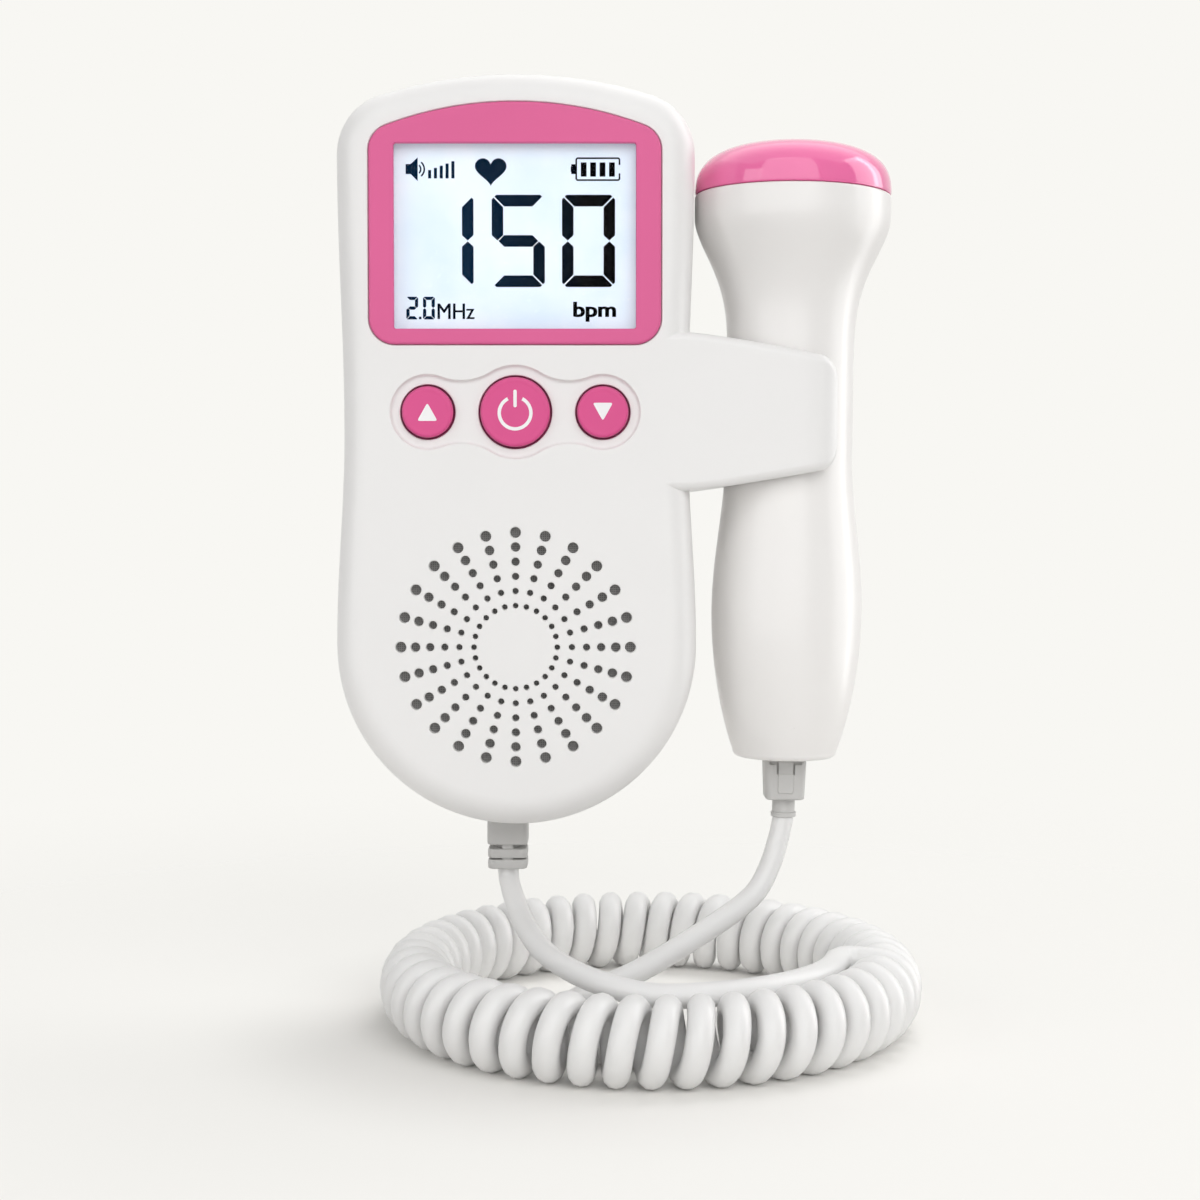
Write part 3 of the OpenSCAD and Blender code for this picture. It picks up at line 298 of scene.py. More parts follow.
# %% A bevelled curve through points
def cable(name, points, first, last, sides=3):
    """A round cable, from one radius at its start to another at its end."""
    line = bpy.data.curves.new(name, "CURVE")
    line.dimensions = "3D"
    line.bevel_depth = 1.0
    line.bevel_resolution = sides
    line.use_fill_caps = True
    spline = line.splines.new("POLY")
    spline.points.add(len(points) - 1)
    for i, p in enumerate(points):
        spline.points[i].co = (*(p * MM), 1)
        spline.points[i].radius = (first + (last - first) * i / (len(points) - 1)) * MM
    return placed(name, line)


curly_cord = cable("curly_cord_jacket", curl_line, WIRE / 2, WIRE / 2, sides=4)
curly_cord.data.splines[0].use_smooth = True

# %% [markdown]
# The straight ends: the unit's lead drops from its strain relief, swings forward over the
# ring and dips into the first curl; the probe's lead crosses behind it, lands inside the
# ring and runs round on the floor to the last curl. The points are those of the part's
# source, each with its height over the floor.

# %% Routes of the two leads
LEAD_R = 1.95
UNIT_POINTS = [
    (-1.8, -19, 25.5), (-0.5, -23.5, 22.5), (1.6, -31.2, 19.7), (5, -40.6, 17.3), (10.1, -48.6, 15.6),
    (16.8, -54.6, 14.3), (24.3, -57.2, 13.3), (33.4, -56, 13.2), (41.9, -52.2, 13.2), (48.8, -46.8, 13.2),
    (53.5, -40.9, 13.2), (56.4, -35.2, 13.2), (57.3, -31.6, 13.2), (58.4, -29.1, 13.2), (59.9, -27.9, 13.1)]
PROBE_POINTS = [
    (48.2, -18.4, 33.5), (46.5, -19.4, 28.5), (43.8, -21.4, 24.1), (39, -24, 20.5), (32.6, -28, 17.2),
    (26.5, -32, 14.3), (21, -35.6, 12.1), (15.5, -38.5, 10.3), (10.4, -40.8, 8.3), (7.2, -44, 5.7),
    (9.2, -48.3, 3.5), (15.5, -51.8, 2.3), (24.3, -53.4, 2.2), (34, -52.4, 2.2), (43, -48, 2.2),
    (50, -42, 2.2), (54.4, -35.5, 2.25), (57.4, -28.9, 2.25)]
LEAN = math.radians(0.67)
PIVOT_X, PIVOT_Z = 50, up(74.05)
TAIL_Z = up(10.9)


def on_probe(x, y, z):
    """A point given on the probe's own axis, moved to where the probe leans in its clip."""
    dz = z - PIVOT_Z
    return Vector((PIVOT_X + x * math.cos(LEAN) + dz * math.sin(LEAN), SEAM + y,
                   PIVOT_Z + dz * math.cos(LEAN) - x * math.sin(LEAN)))


def rounded(points, steps=6):
    """The route as a smooth chain through its points, relaxed in its last quarter."""
    chain = []
    for i in range(len(points) - 1):
        a, b = points[max(i - 1, 0)], points[i]
        c, d = points[i + 1], points[min(i + 2, len(points) - 1)]
        for k in range(steps):
            t = k / steps
            chain.append(0.5 * ((2 * b) + (c - a) * t + (2 * a - 5 * b + 4 * c - d) * t**2
                                + (3 * b - 3 * c + d - a) * t**3))
    chain.append(points[-1])
    firm = len(chain) * 3 // 4
    for _ in range(14):
        relaxed = [(a + 2 * b + c) / 4 for a, b, c in zip(chain, chain[1:], chain[2:])]
        chain = chain[:firm] + relaxed[firm - 1:] + [chain[-1]]
    return chain


unit_exit = Vector((-2.1, SEAM, BOTTOM - 9.7))
probe_exit = on_probe(0, 0, TAIL_Z - 11.2)
unit_line, probe_line = [
    rounded([first] + [Vector((x, y, FLOOR + h)) for x, y, h in points] + [last])
    for first, points, last in ((unit_exit, UNIT_POINTS, ring_first), (probe_exit, PROBE_POINTS, ring_last))]
unit_cord = cable("unit_lead_jacket", unit_line, LEAD_R, WIRE / 2)
probe_cord = cable("probe_lead_jacket", probe_line, LEAD_R, WIRE / 2)
print("leads: %.3f m and %.3f m" % (length_of(unit_line), length_of(probe_line)))


# %% [markdown]
# The lead to the probe follows it when it is pulled out of the clip, so that cable is made a mesh.

# %% The probe's lead becomes a mesh
def alone(piece):
    """Selects this piece and no other."""
    bpy.ops.object.select_all(action="DESELECT")
    piece.select_set(True)
    bpy.context.view_layer.objects.active = piece


alone(probe_cord)
bpy.ops.object.convert(target="MESH")
probe_cord = bpy.context.object
bpy.ops.object.shade_smooth()
print("probe lead:", len(probe_cord.data.polygons), "faces")

# %% [markdown]
# Soft vinyl jacket: warm white, slightly cloudy, with a low sheen. A little light gets
# under its skin, which softens the shadows between the curls.

# %% Jacket of the cord
jacket, tree = new_material("cord_jacket")
cloud = grain(tree, 90, 3)
surface(tree, {
    "Base Color": ramp(tree, cloud, 0.3, 0.7, (0.802, 0.799, 0.793), (0.832, 0.829, 0.823)),
    "Roughness": span(tree, cloud, 0.27, 0.36),
    "Subsurface Weight": 0.03, "Subsurface Radius": (1.0, 0.9, 0.8), "Subsurface Scale": 0.0012,
    "Normal": bump(tree, grain(tree, 2600, 2), 0.12, 0.00006)})

for piece, node in ((curly_cord, "curly_cord"), (unit_cord, "unit_cord"), (probe_cord, "probe_cord")):
    piece.data.materials.clear()
    piece.data.materials.append(jacket)
    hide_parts(node)
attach(curly_cord, "unit")
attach(unit_cord, "unit")
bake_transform(probe_cord)

# %% [markdown]
# ## Tools for raising a piece
# Almost every moulded piece here is one outline that changes a little as it rises: a rounded
# rim, a draft, a groove. So one tool does it all: an n-gon is laid on the first loop of
# points, then extruded and drawn out to each next loop, and the last face closes it.

# %% Extruding through loops
def raised(name, loops):
    """A closed solid from loops with the same number of points, first to last."""
    bpy.ops.object.select_all(action="DESELECT")
    bpy.ops.mesh.primitive_circle_add(vertices=len(loops[0]), radius=1, fill_type="NGON")
    piece = bpy.context.object
    piece.name = piece.data.name = name
    spot = {}
    for i, point in enumerate(piece.data.vertices):
        point.co = Vector(loops[0][i]) * MM
        spot[tuple(point.co)] = i
    bpy.ops.object.mode_set(mode="EDIT")
    bpy.ops.mesh.select_all(action="SELECT")
    for loop in loops[1:]:
        bpy.ops.mesh.extrude_region_move()
        mesh = bmesh.from_edit_mesh(piece.data)
        drawn = {}
        for point in [p for p in mesh.verts if p.select]:
            i = spot[tuple(point.co)]
            point.co = Vector(loop[i]) * MM
            drawn[tuple(point.co)] = i
        spot = drawn
        bmesh.update_edit_mesh(piece.data)
    bpy.ops.mesh.select_all(action="SELECT")
    bpy.ops.mesh.normals_make_consistent(inside=False)
    bpy.ops.object.mode_set(mode="OBJECT")
    return piece


def brick(x0, x1, y0, y1, z0, z1):
    bpy.ops.object.select_all(action="DESELECT")
    bpy.ops.mesh.primitive_cube_add(size=1, location=Vector((x0 + x1, y0 + y1, z0 + z1)) / 2 * MM,
                                    scale=Vector((x1 - x0, y1 - y0, z1 - z0)) * MM)
    bpy.ops.object.transform_apply(location=True, rotation=True, scale=True)
    return bpy.context.object


# %% [markdown]
# The loops come from a few kinds of outline, drawn in front view: an arc, a ring, a rounded
# rectangle. A round piece or tool along Y is a list of radii and depths; a slab is a rounded
# rectangle that is drawn out by g at each depth.

# %% Outlines
def bow(x, z, r, start, end, steps, skip=0):
    """Points on an arc about (x, z), without the first few."""
    turns = [start + (end - start) * i / steps for i in range(skip, steps + 1)]
    return [(x + r * math.cos(a), z + r * math.sin(a)) for a in turns]


def ring(r, sides, x=0.0, z=0.0):
    return bow(x, z, r, 0, 2 * math.pi * (sides - 1) / sides, sides - 1)


def soft_rect(w, h, r, steps=6):
    """A rounded rectangle about the origin."""
    points = []
    for q, (sx, sz) in enumerate(((1, 1), (-1, 1), (-1, -1), (1, -1))):
        points += bow(sx * (w / 2 - r), sz * (h / 2 - r), r, RIGHT * q, RIGHT * (q + 1), steps)
    return points


def quarter(steps, skip=0):
    return [RIGHT * i / steps for i in range(skip, steps + 1)]


def rim(r, steps, skip=1):
    """A rounded edge: how far each loop draws in, and how far it lies behind the face."""
    return [(r * (math.cos(a) - 1), r * (1 - math.sin(a))) for a in quarter(steps, skip)]


def facing(outline, y, z=0.0):
    """A loop in front view, at depth y, lifted by z."""
    return [(px, y, pz + z) for px, pz in outline]


def turned(name, profile, x, z, base=0.0, sides=48):
    """A round solid along Y: profile holds a radius and a depth behind base for each loop."""
    return raised(name, [facing(ring(r, sides, x, z), base + y) for r, y in profile])


def slab(name, w, h, r, profile, z, base=0.0, steps=6, swell=1.0):
    """A rounded slab: profile holds, for each loop, how far it is drawn out and its depth."""
    return raised(name, [facing(soft_rect(w + 2 * g, h + 2 * g, r + swell * g, steps), base + y, z)
                         for g, y in profile])


# %% Cutting, joining and finishing
def carve(piece, *tools, way="DIFFERENCE"):
    """Takes the tools away from the piece one by one, or welds them on."""
    for tool in tools:
        alone(piece)
        cut = piece.modifiers.new("cut", "BOOLEAN")
        cut.operation, cut.solver, cut.object = way, "MANIFOLD", tool
        bpy.ops.object.modifier_apply(modifier="cut")
        bpy.data.objects.remove(tool)


def weld(piece, *tools):
    carve(piece, *tools, way="UNION")


def one_of(name, parts):
    """Several closed pieces as one object."""
    alone(parts[0])
    for part in parts[1:]:
        part.select_set(True)
    if len(parts) > 1:
        bpy.ops.object.join()
    piece = bpy.context.object
    piece.name = piece.data.name = name
    return piece


def finished(piece, material, slot, body, *nodes, angle=32):
    """Smooths the piece, gives it its finish, and hangs it on its body."""
    alone(piece)
    bpy.ops.object.shade_smooth_by_angle(angle=math.radians(angle))
    even = piece.modifiers.new("even", "WEIGHTED_NORMAL")
    even.keep_sharp = True
    bpy.ops.object.modifier_apply(modifier="even")
    piece.data.materials.clear()
    piece.data.materials.append(material)
    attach(piece, body)
    if nodes:
        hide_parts(*nodes)
    print(piece.name, len(piece.data.polygons), "faces,", [round(d / MM, 1) for d in piece.dimensions], "mm")


# %% [markdown]
# ## Moulded plastic
# Injection-moulded ABS has a fine spark-eroded texture from the tool, too small to see as
# grain, which spreads the highlights. Three scales are laid over each other: a slow drift
# of tone, a middle ripple in the gloss, and the fine texture as bump.

# %% Plastic finishes
def tone(r, g, b):
    """A colour as it is seen on a screen, 0 to 255, as the light values a shader wants."""
    return tuple(c / 255 / 12.92 if c <= 10 else ((c / 255 + 0.055) / 1.055) ** 2.4 for c in (r, g, b))


def moulded(name, shade, rough=0.35, grit=0.06, grit_scale=5200, drift=0.03, coat=0.0, soft=0.0):
    """A moulded material: shade is 0 to 255, grit the strength of its texture."""
    material, tree = new_material(name)
    low, high = [tuple(min(1.0, c * (1 + way * drift)) for c in tone(*shade)) for way in (-1, 1)]
    surface(tree, {
        "Base Color": ramp(tree, grain(tree, 26, 2), 0.3, 0.7, low, high),
        "Roughness": span(tree, grain(tree, 420, 4), rough - 0.05, rough + 0.05),
        "IOR": 1.5, "Coat Weight": coat, "Coat Roughness": 0.08,
        "Subsurface Weight": soft, "Subsurface Radius": (1.0, 0.95, 0.9), "Subsurface Scale": 0.0006,
        "Normal": bump(tree, grain(tree, grit_scale, 3), grit, 0.00004)})
    return material


white_shell = moulded("white_shell", (238, 237, 236), rough=0.34, grit=0.10, drift=0.012)
pink_trim = moulded("pink_trim", (220, 93, 148), rough=0.42, grit=0.16, drift=0.025)
pink_button = moulded("pink_button", (217, 74, 138), rough=0.36, grit=0.12, drift=0.025)
pink_cap = moulded("pink_cap", (242, 110, 168), rough=0.10, grit=0.03, drift=0.02, coat=0.6)
print("plastics:", white_shell.name, pink_trim.name, pink_button.name, pink_cap.name)


# %% [markdown]
# ## Outline of the unit
# In front view the unit is one closed line: a round bottom, sides that draw in to a waist,
# and a shallow arch over two shoulders. Every wall, rim and hollow follows that line at
# some distance, so it is written once, drawn out by g.

# %% The line of the unit
def ease(t):
    return (1 - math.cos(math.pi * t)) / 2


def half_width(z):
    waist = WAIST_W / 2
    if z < WAIST_Z:
        return waist + (HIP_R - waist) * (1 - ease((z - HIP_Z) / (WAIST_Z - HIP_Z)))
    return waist + (SHOULDER_W / 2 - waist) * ease((z - WAIST_Z) / (CORNER_Z - WAIST_Z))


def both_sides(right):
    """The whole outline from its right half, which starts and ends on the middle line."""
    return right + [(-x, z) for x, z in reversed(right[1:-1])]


def unit_line(g=0.0):
    """The outline of the unit drawn out by g, as points in front view."""
    right = bow(0, HIP_Z, HIP_R + g, -RIGHT, 0, 36)
    for i in range(1, 40):
        z = HIP_Z + (CORNER_Z - HIP_Z) * i / 40
        slope = half_width(z + 0.5) - half_width(z - 0.5)
        fall = 1 / math.sqrt(1 + slope * slope)
        right.append((half_width(z) + g * fall, z - g * slope * fall))
    turn = math.atan2(CORNER_Z - ARCH_Z, CORNER_X)
    right += bow(CORNER_X, CORNER_Z, CORNER_R + g, 0, turn, 14)
    return both_sides(right + bow(0, ARCH_Z, ARCH_R + g, turn, RIGHT, 24, skip=1))


print("points in the outline:", len(unit_line()))

# %% [markdown]
# ## The two shells
# The unit is a clamshell: the front shell carries the display, the keys and the speaker,
# the rear cover carries the cells. They meet at the middle of the arm that holds the
# probe, with a fine groove all round. Each is raised as a solid, welded to its half of
# the arm, hollowed, and then cut. In these tools way is -1 for the front, 1 for the rear.

# %% Body, arm and hollow
FRONT_RIM, REAR_RIM = 5, 8
ARM_ROOT, ARM_TIP, TIP_R, EDGE_R = 23.9, 57.3, 3, 1.6
CLIP_R, PRONG = 12.3402, 0.8
BEND_FROM, BEND_OVER, BEND_BY = 50.3, 7, 1.6


def shell_body(name, face, rim_r, way):
    """One half: from the parting groove to the rounded rim and the flat face."""
    loops = [facing(unit_line(-0.28), SEAM), facing(unit_line(-0.06), SEAM + way * 0.10),
             facing(unit_line(0), SEAM + way * 0.28), facing(unit_line(0), face - way * (rim_r + 0.4))]
    loops += [facing(unit_line(g), face - way * y) for g, y in rim(rim_r, 14, 0)]
    return raised(name, loops + [facing(unit_line(-rim_r - 0.3), face)])


def shell_hollow(face, rim_r, way):
    loops = [facing(unit_line(-WALL), SEAM - way), facing(unit_line(-WALL), face - way * rim_r)]
    loops += [facing(unit_line(g - WALL), face - way * (WALL + y)) for g, y in rim(rim_r - WALL, 5)]
    return raised("hollow", loops)


def arm_edge(x, root, tip):
    """The height of the arm's upper or lower edge at x, between its root and its tip."""
    share = max(0.0, (x - WAIST_W / 2) / (ARM_TIP - WAIST_W / 2))
    return up(root) + (tip - root) * share**1.2


def arm_loop(x, depth, way):
    """A section of the arm at x: flat face, rounded edges, open on the seam."""
    t = max(0.0, x - (ARM_TIP - TIP_R)) / TIP_R
    draw = TIP_R * (1 - math.sqrt(max(0.0, 1 - t * t)))
    bend = BEND_BY * max(0.0, (x - BEND_FROM) / BEND_OVER) ** 2
    face = max(depth - bend - 0.35 * draw, CLIP_R + PRONG)
    top, low = arm_edge(x, 88.1, 83.6) - draw, arm_edge(x, 60, 64.2) + draw
    points = [(0.0, low)] + bow(face - EDGE_R, low + EDGE_R, EDGE_R, -RIGHT, 0, 7)
    points += bow(face - EDGE_R, top - EDGE_R, EDGE_R, 0, RIGHT, 7) + [(0.0, top)]
    return [(x, SEAM + way * y, z) for y, z in points]


def arm_half(depth, way):
    stations = [ARM_ROOT + (ARM_TIP - TIP_R - ARM_ROOT) * i / 16 for i in range(17)]
    stations += [ARM_TIP - TIP_R * (1 - math.sin(a)) for a in quarter(8, 1)]
    return raised("arm", [arm_loop(x, depth, way) for x in stations])


SCREWS = [(20, 15.12), (-20, 15.12), (25.5, -89.5), (-25.5, -89.5)]
front_shell = shell_body("front_shell_skin", FACE, FRONT_RIM, -1)
weld(front_shell, arm_half(16, -1))
hollow = shell_hollow(FACE, FRONT_RIM, -1)
carve(hollow, *[turned("post", [(2.7, SEAM + 3), (2.7, FACE - 1)], x, z) for x, z in SCREWS])
carve(hollow, turned("speaker_ring", [(24, FACE - 1), (24, FACE + 5.4)], 0, GRILLE_Z, sides=96))
carve(front_shell, hollow)
print("front shell:", len(front_shell.data.polygons), "faces before its cuts")

# %% [markdown]
# The clip's bore must let the probe's neck in with a little air, and its mouth opens to
# the side, where the probe is pulled out. The cord leaves below, the headphone jack enters
# on the left.

# %% Bore of the clip, passage of the cord, hole of the jack
RELIEF_X, JACK_Y, JACK_Z = -2.1, -16, up(84)


def upright(name, x, y, loops, sides):
    """A round tool along Z, with a radius and a height for each loop."""
    return raised(name, [[(px, py, z) for px, py in ring(r, sides, x, y)] for r, z in loops])


def clip_bore():
    bore = upright("bore", PIVOT_X, SEAM, ((CLIP_R, BOTTOM), (CLIP_R, TOP)), 128)
    weld(bore, brick(PIVOT_X, 110, SEAM - CLIP_R, SEAM + CLIP_R, BOTTOM + 1, TOP - 1))
    return bore


def relief_passage():
    tool = brick(RELIEF_X - 3.85, RELIEF_X + 3.85, SEAM - 3.85, SEAM + 3.85, BOTTOM - 1, BOTTOM + 0.9)
    weld(tool, upright("neck", RELIEF_X, SEAM, ((2.7, BOTTOM - 0.5), (2.7, BOTTOM + 3)), 40))
    return tool


def jack_hole():
    loops = [(-34, 3.5), (-31.1, 3.5), (-30.75, 3.1), (-27.5, 3.1)]
    return raised("jack", [[(x, y, z) for y, z in ring(r, 48, JACK_Y, JACK_Z)] for x, r in loops])


carve(front_shell, clip_bore(), relief_passage(), jack_hole())
print("front shell:", len(front_shell.data.polygons), "faces with its passages")


# %% [markdown]
# On the face: a pocket for the pink frame of the display, the shallow three-lobed dish
# round the keys, and the fan of small holes over the loudspeaker.

# %% Pocket of the display frame
def bezel_line(g=0.0):
    """The outline of the display's frame: straight sides, an arched top, round corners."""
    half, low, tall = 25.8, -25.2, 42.5
    corner_r, arch_r = 4.6, 65
    cx, arch_z = half - corner_r, low + tall - arch_r
    cz = arch_z + math.sqrt((arch_r - corner_r) ** 2 - cx**2)
    turn = math.atan2(cz - arch_z, cx)
    half, low, corner_r, arch_r = half + g, low - g, corner_r + g, arch_r + g
    right = [(cx * i / 6, low) for i in range(6)]
    right += bow(cx, low + corner_r, corner_r, -RIGHT, 0, 14)
    right += [(half, low + corner_r + (cz - low - corner_r) * i / 6) for i in range(1, 6)]
    right += bow(cx, cz, corner_r, 0, turn, 10)
    return both_sides(right + bow(0, arch_z, arch_r, turn, RIGHT, 22, skip=1))


def bezel_solid(name, profile):
    return raised(name, [facing(bezel_line(g), FACE + y) for g, y in profile])


carve(front_shell, bezel_solid("pocket", [(0.1, 1.2), (0.1, 0.15), (0.25, 0), (0.25, -1)]),
      brick(-23.45, 23.45, FACE, FACE + 3, WINDOW_Z - 18.35, WINDOW_Z + 18.35))


# %% Dish round the keys
def dish_line(g=0.0):
    """Three lobes round the keys, drawn out by g and joined by hollow curves."""
    r0, r1, rb = POWER_R + 2.05 + g, SIDE_R + 2.05 + g, 10 - g
    cx = ((r0 + rb) ** 2 - (r1 + rb) ** 2 + PITCH**2) / (2 * PITCH)
    cz = math.sqrt((r0 + rb) ** 2 - cx**2)
    a0, a1 = math.atan2(cz, cx), math.atan2(cz, cx - PITCH)
    part = bow(PITCH, 0, r1, 0, a1, 16) + bow(cx, cz, rb, a1 + math.pi, a0 + math.pi, 14, skip=1)
    part += bow(0, 0, r0, a0, RIGHT, 14, skip=1)
    whole = part + [(-x, z) for x, z in reversed(part[:-1])]
    return whole + [(-x, -z) for x, z in part[1:]] + [(x, -z) for x, z in reversed(part[1:-1])]


dish_profile = [(-0.75, 0.70), (-0.50, 0.70), (-0.28, 0.66), (-0.12, 0.56), (-0.03, 0.40), (0.03, 0.22),
                (0.11, 0.08), (0.24, 0.0), (0.3, 0.0), (0.34, -1.0)]
carve(front_shell, raised("dish", [facing(dish_line(g), FACE + y, BUTTON_Z) for g, y in dish_profile]))
hole_profile = ((0.48, 0.55), (0.48, 0.70), (0.38, 0.78), (0.38, 2.0), (0.2, 2.2), (0.2, 4))
for x, r in ((-PITCH, SIDE_R), (0, POWER_R), (PITCH, SIDE_R)):
    carve(front_shell, turned("key_hole", [(r + g, y) for g, y in hole_profile], x, BUTTON_Z, FACE, 72))
print("front shell:", len(front_shell.data.polygons), "faces with its pocket and dish")

# %% [markdown]
# The holes grow from circle to circle, so the fan looks dense in the middle and open
# outside. Each is a 16-sided pin with a small flare at the face; all are cut at once.

# %% Speaker holes
CIRCLES, SPOKES = 6, 24
pins = []
for circle in range(CIRCLES):
    r = (1 + 0.95 * (circle / (CIRCLES - 1)) ** 1.3) / 2
    flare = [(r + 0.14, -0.6), (r + 0.14, -0.001), (r, 0.14), (r, 2.6)]
    pins += [turned("pin", flare, x, z, FACE, 16) for x, z in ring(7.4 + 2.6 * circle, SPOKES, 0, GRILLE_Z)]
carve(front_shell, one_of("holes", pins))
finished(front_shell, white_shell, "white_shell", "unit", "front_shell")

# %% [markdown]
# The rear cover is softer, with an 8 mm rim. The bay for the two cells is cut from
# outside, with a step for its door, finger room at the latch, and four deep holes where
# the screw heads sit.

# %% Rear cover
BAY_LOW, BAY_TOP, DOOR_LOW, DOOR_TOP, TAB_X = -72.0, -17.6, -74.0, -15.6, 9
rear_cover = shell_body("rear_cover_skin", 0.0, REAR_RIM, 1)
weld(rear_cover, arm_half(18, 1))
hollow = shell_hollow(0.0, REAR_RIM, 1)
carve(hollow, brick(-15.85, 15.85, -17.8, 1, BAY_LOW - 1.2, BAY_TOP + 1.2),
      brick(-17.65, 17.65, -3.5, 1, DOOR_LOW - 1, DOOR_TOP + 1))
carve(hollow, *[turned("post", [(3.3, SEAM - 3), (3.3, 1)], x, z) for x, z in SCREWS])
carve(rear_cover, hollow, clip_bore(), relief_passage(), jack_hole(),
      brick(-14.65, 14.65, -16.6, 1, BAY_LOW, BAY_TOP),
      slab("step", 33.3, 58.4, 0.35, ((0.2, -2.0), (0.2, -0.25), (0.42, 0.0), (0.42, 1.0)),
           (DOOR_LOW + DOOR_TOP) / 2, steps=3, swell=0),
      *[brick(x - 2.8, x + 2.8, -5.2, -1.9, BAY_TOP - 2.5, DOOR_TOP + 2.6) for x in (-TAB_X, TAB_X)],
      brick(-4.3, 4.3, -5.6, -1.8, DOOR_LOW - 0.6, BAY_LOW + 1))
for x, z in SCREWS:
    carve(rear_cover, turned("mouth", [(2.75, 1.0), (2.75, 0.0), (2.4, -0.35), (2.4, -6.0)], x, z),
          turned("shank", [(1.3, -5.5), (1.3, SEAM - 2)], x, z, sides=24))
finished(rear_cover, white_shell, "white_shell", "unit", "rear_cover")

# %% [markdown]
# ## Battery door
# A plain lid with soft edges, five finger grooves over its latch, two tabs under the skin
# at the top, and a round bead there that it turns on.

# %% Door
def along_x(name, profile, y, z):
    """A round tool along X, with an x and a radius for each loop."""
    return raised(name, [[(x, py, pz) for py, pz in ring(r, 32, y, z)] for x, r in profile])


lid_profile = ((-0.7, -1.8), (-0.2, -1.8), (0.0, -1.6), (0.0, -0.4), (-0.12, -0.12), (-0.4, 0.0), (-0.7, 0.0))
door_lid = slab("battery_lid", 33.3, 57.5, 0.9, lid_profile, (DOOR_LOW + DOOR_TOP - 0.9) / 2, 0.0, 5, 0.8)
groove = [(-7.02, 0.55), (-6.7, 0.9), (-6.2, 1.0), (6.2, 1.0), (6.7, 0.9), (7.02, 0.55)]
carve(door_lid, *[along_x("groove", groove, 0.55, DOOR_LOW + 5 + 2 * k) for k in range(5)])
weld(door_lid, along_x("bead", ((-16.65, 0.7), (-16.45, 0.9), (16.45, 0.9), (16.65, 0.7)), -0.9, -16.5))
for x in (-TAB_X, TAB_X):
    weld(door_lid, brick(x - 2.5, x + 2.5, -3.2, -2.1, -18, -13.6),
         brick(x - 2.5, x + 2.5, -3.2, -0.9, -18, -16.5))
weld(door_lid, brick(-4, 4, -5, -1.7, BAY_LOW - 1.7, BAY_LOW - 0.4))
finished(door_lid, white_shell, "white_shell", "door", "battery_door")

# %% [markdown]
# ## Display
# A matt pink frame with a rounded rim sits in its pocket, a hair proud of the face. The
# window behind it is clear plastic, and under that lies the glass with its segments.

# %% Pink frame of the display
PROUD, FRAME_ROUND = 0.4, 0.45
frame_profile = [(-0.05, 1.2), (0, 1.1), (0, FRAME_ROUND - PROUD)]
frame_profile += [(g, y - PROUD) for g, y in rim(FRAME_ROUND, 6)]
display_frame = bezel_solid("display_frame", frame_profile + [(-0.65, -PROUD)])
sight = ((0.0, 3.0), (0.0, -0.20), (0.04, -0.30), (0.12, -0.37), (0.24, -0.40), (0.24, -1.5))
carve(display_frame, slab("sight", 42.7, 32.5, 0.4, sight, WINDOW_Z, FACE),
      slab("step", 44.9, 34.7, 1, ((0, 3.0), (0, 0.6)), WINDOW_Z, FACE))
finished(display_frame, pink_trim, "pink_trim", "unit", "display_bezel")

# %% [markdown]
# The window is nearly invisible straight on and carries only a faint gloss, so it is a
# thin mirror laid over full transparency.

# %% Clear window
clear_window, tree = new_material("clear_window")
surface(tree, {"Base Color": (1, 1, 1, 1), "Metallic": 1.0, "Alpha": 0.002,
               "Roughness": span(tree, grain(tree, 60, 2), 0.04, 0.09)})
lens_profile = ((-0.3, 1.60), (0.0, 1.5), (0.0, 0.72), (-0.25, 0.60), (-0.5, 0.60))
lens = slab("display_lens", 44.7, 34.5, 1.2, lens_profile, WINDOW_Z, FACE)
finished(lens, clear_window, "clear_window", "unit", "display_window")

# %% [markdown]
# The glass shows a pale blue field, lit from behind, with dark segments: they are thin
# plates on its face, as the real ones are a film in the glass. On the left they are navy,
# on the right nearly black, as seen through the polariser at a slant.

# %% Field of the glass
lcd_glass, tree = new_material("lcd_glass")
tint = ramp(tree, grain(tree, 70, 3), 0.35, 0.72, tone(230, 242, 252), tone(212, 231, 246))
surface(tree, {"Base Color": tint, "Emission Color": tint, "Emission Strength": 0.20,
               "Roughness": span(tree, grain(tree, 900, 2), 0.22, 0.3)})

segment_ink, tree = new_material("segment_ink")
across = add(tree, "SeparateXYZ", {0: add(tree, "TexCoord")["Object"]})["X"]
shift = span(tree, across, 0.0, 1.0, -0.010, 0.012)
surface(tree, {"Base Color": ramp(tree, shift, 0.0, 1.0, tone(6, 34, 60), tone(1, 1, 2)),
               "Roughness": span(tree, grain(tree, 1500, 2), 0.3, 0.42), "Specular IOR Level": 0.0})

GLASS_FRONT = -32.1
glass = raised("display_glass", [
    facing(soft_rect(w, h, 0.4, 3), GLASS_FRONT + y, WINDOW_Z) for w, h, y in
    ((46.3, 36.1, 2.0), (46.3, 36.1, 0.95), (46.3, 34.5, 0.93), (46.3, 34.5, 0.06), (46.1, 34.3, 0.0))])
finished(glass, lcd_glass, "lcd_glass", "unit", "lcd_panel")

# %% [markdown]
# The figures and signs are drawn on a fine grid, 31.5 units to the millimetre, counted
# right and down from the window's corner.

# %% Segments of the figures
GRID, MID_X, MID_Z = 31.5, 674.5, 513.5
inked = []


def ink(points):
    """A closed plate on the glass, from points in grid units."""
    flat = [((x - MID_X) / GRID, WINDOW_Z - (y - MID_Z) / GRID) for x, y in points]
    if sum(a[0] * b[1] - b[0] * a[1] for a, b in zip(flat, flat[1:] + flat[:1])) < 0:
        flat.reverse()
    inked.append(raised("ink", [facing(flat, -32.08), facing(flat, -32.13)]))


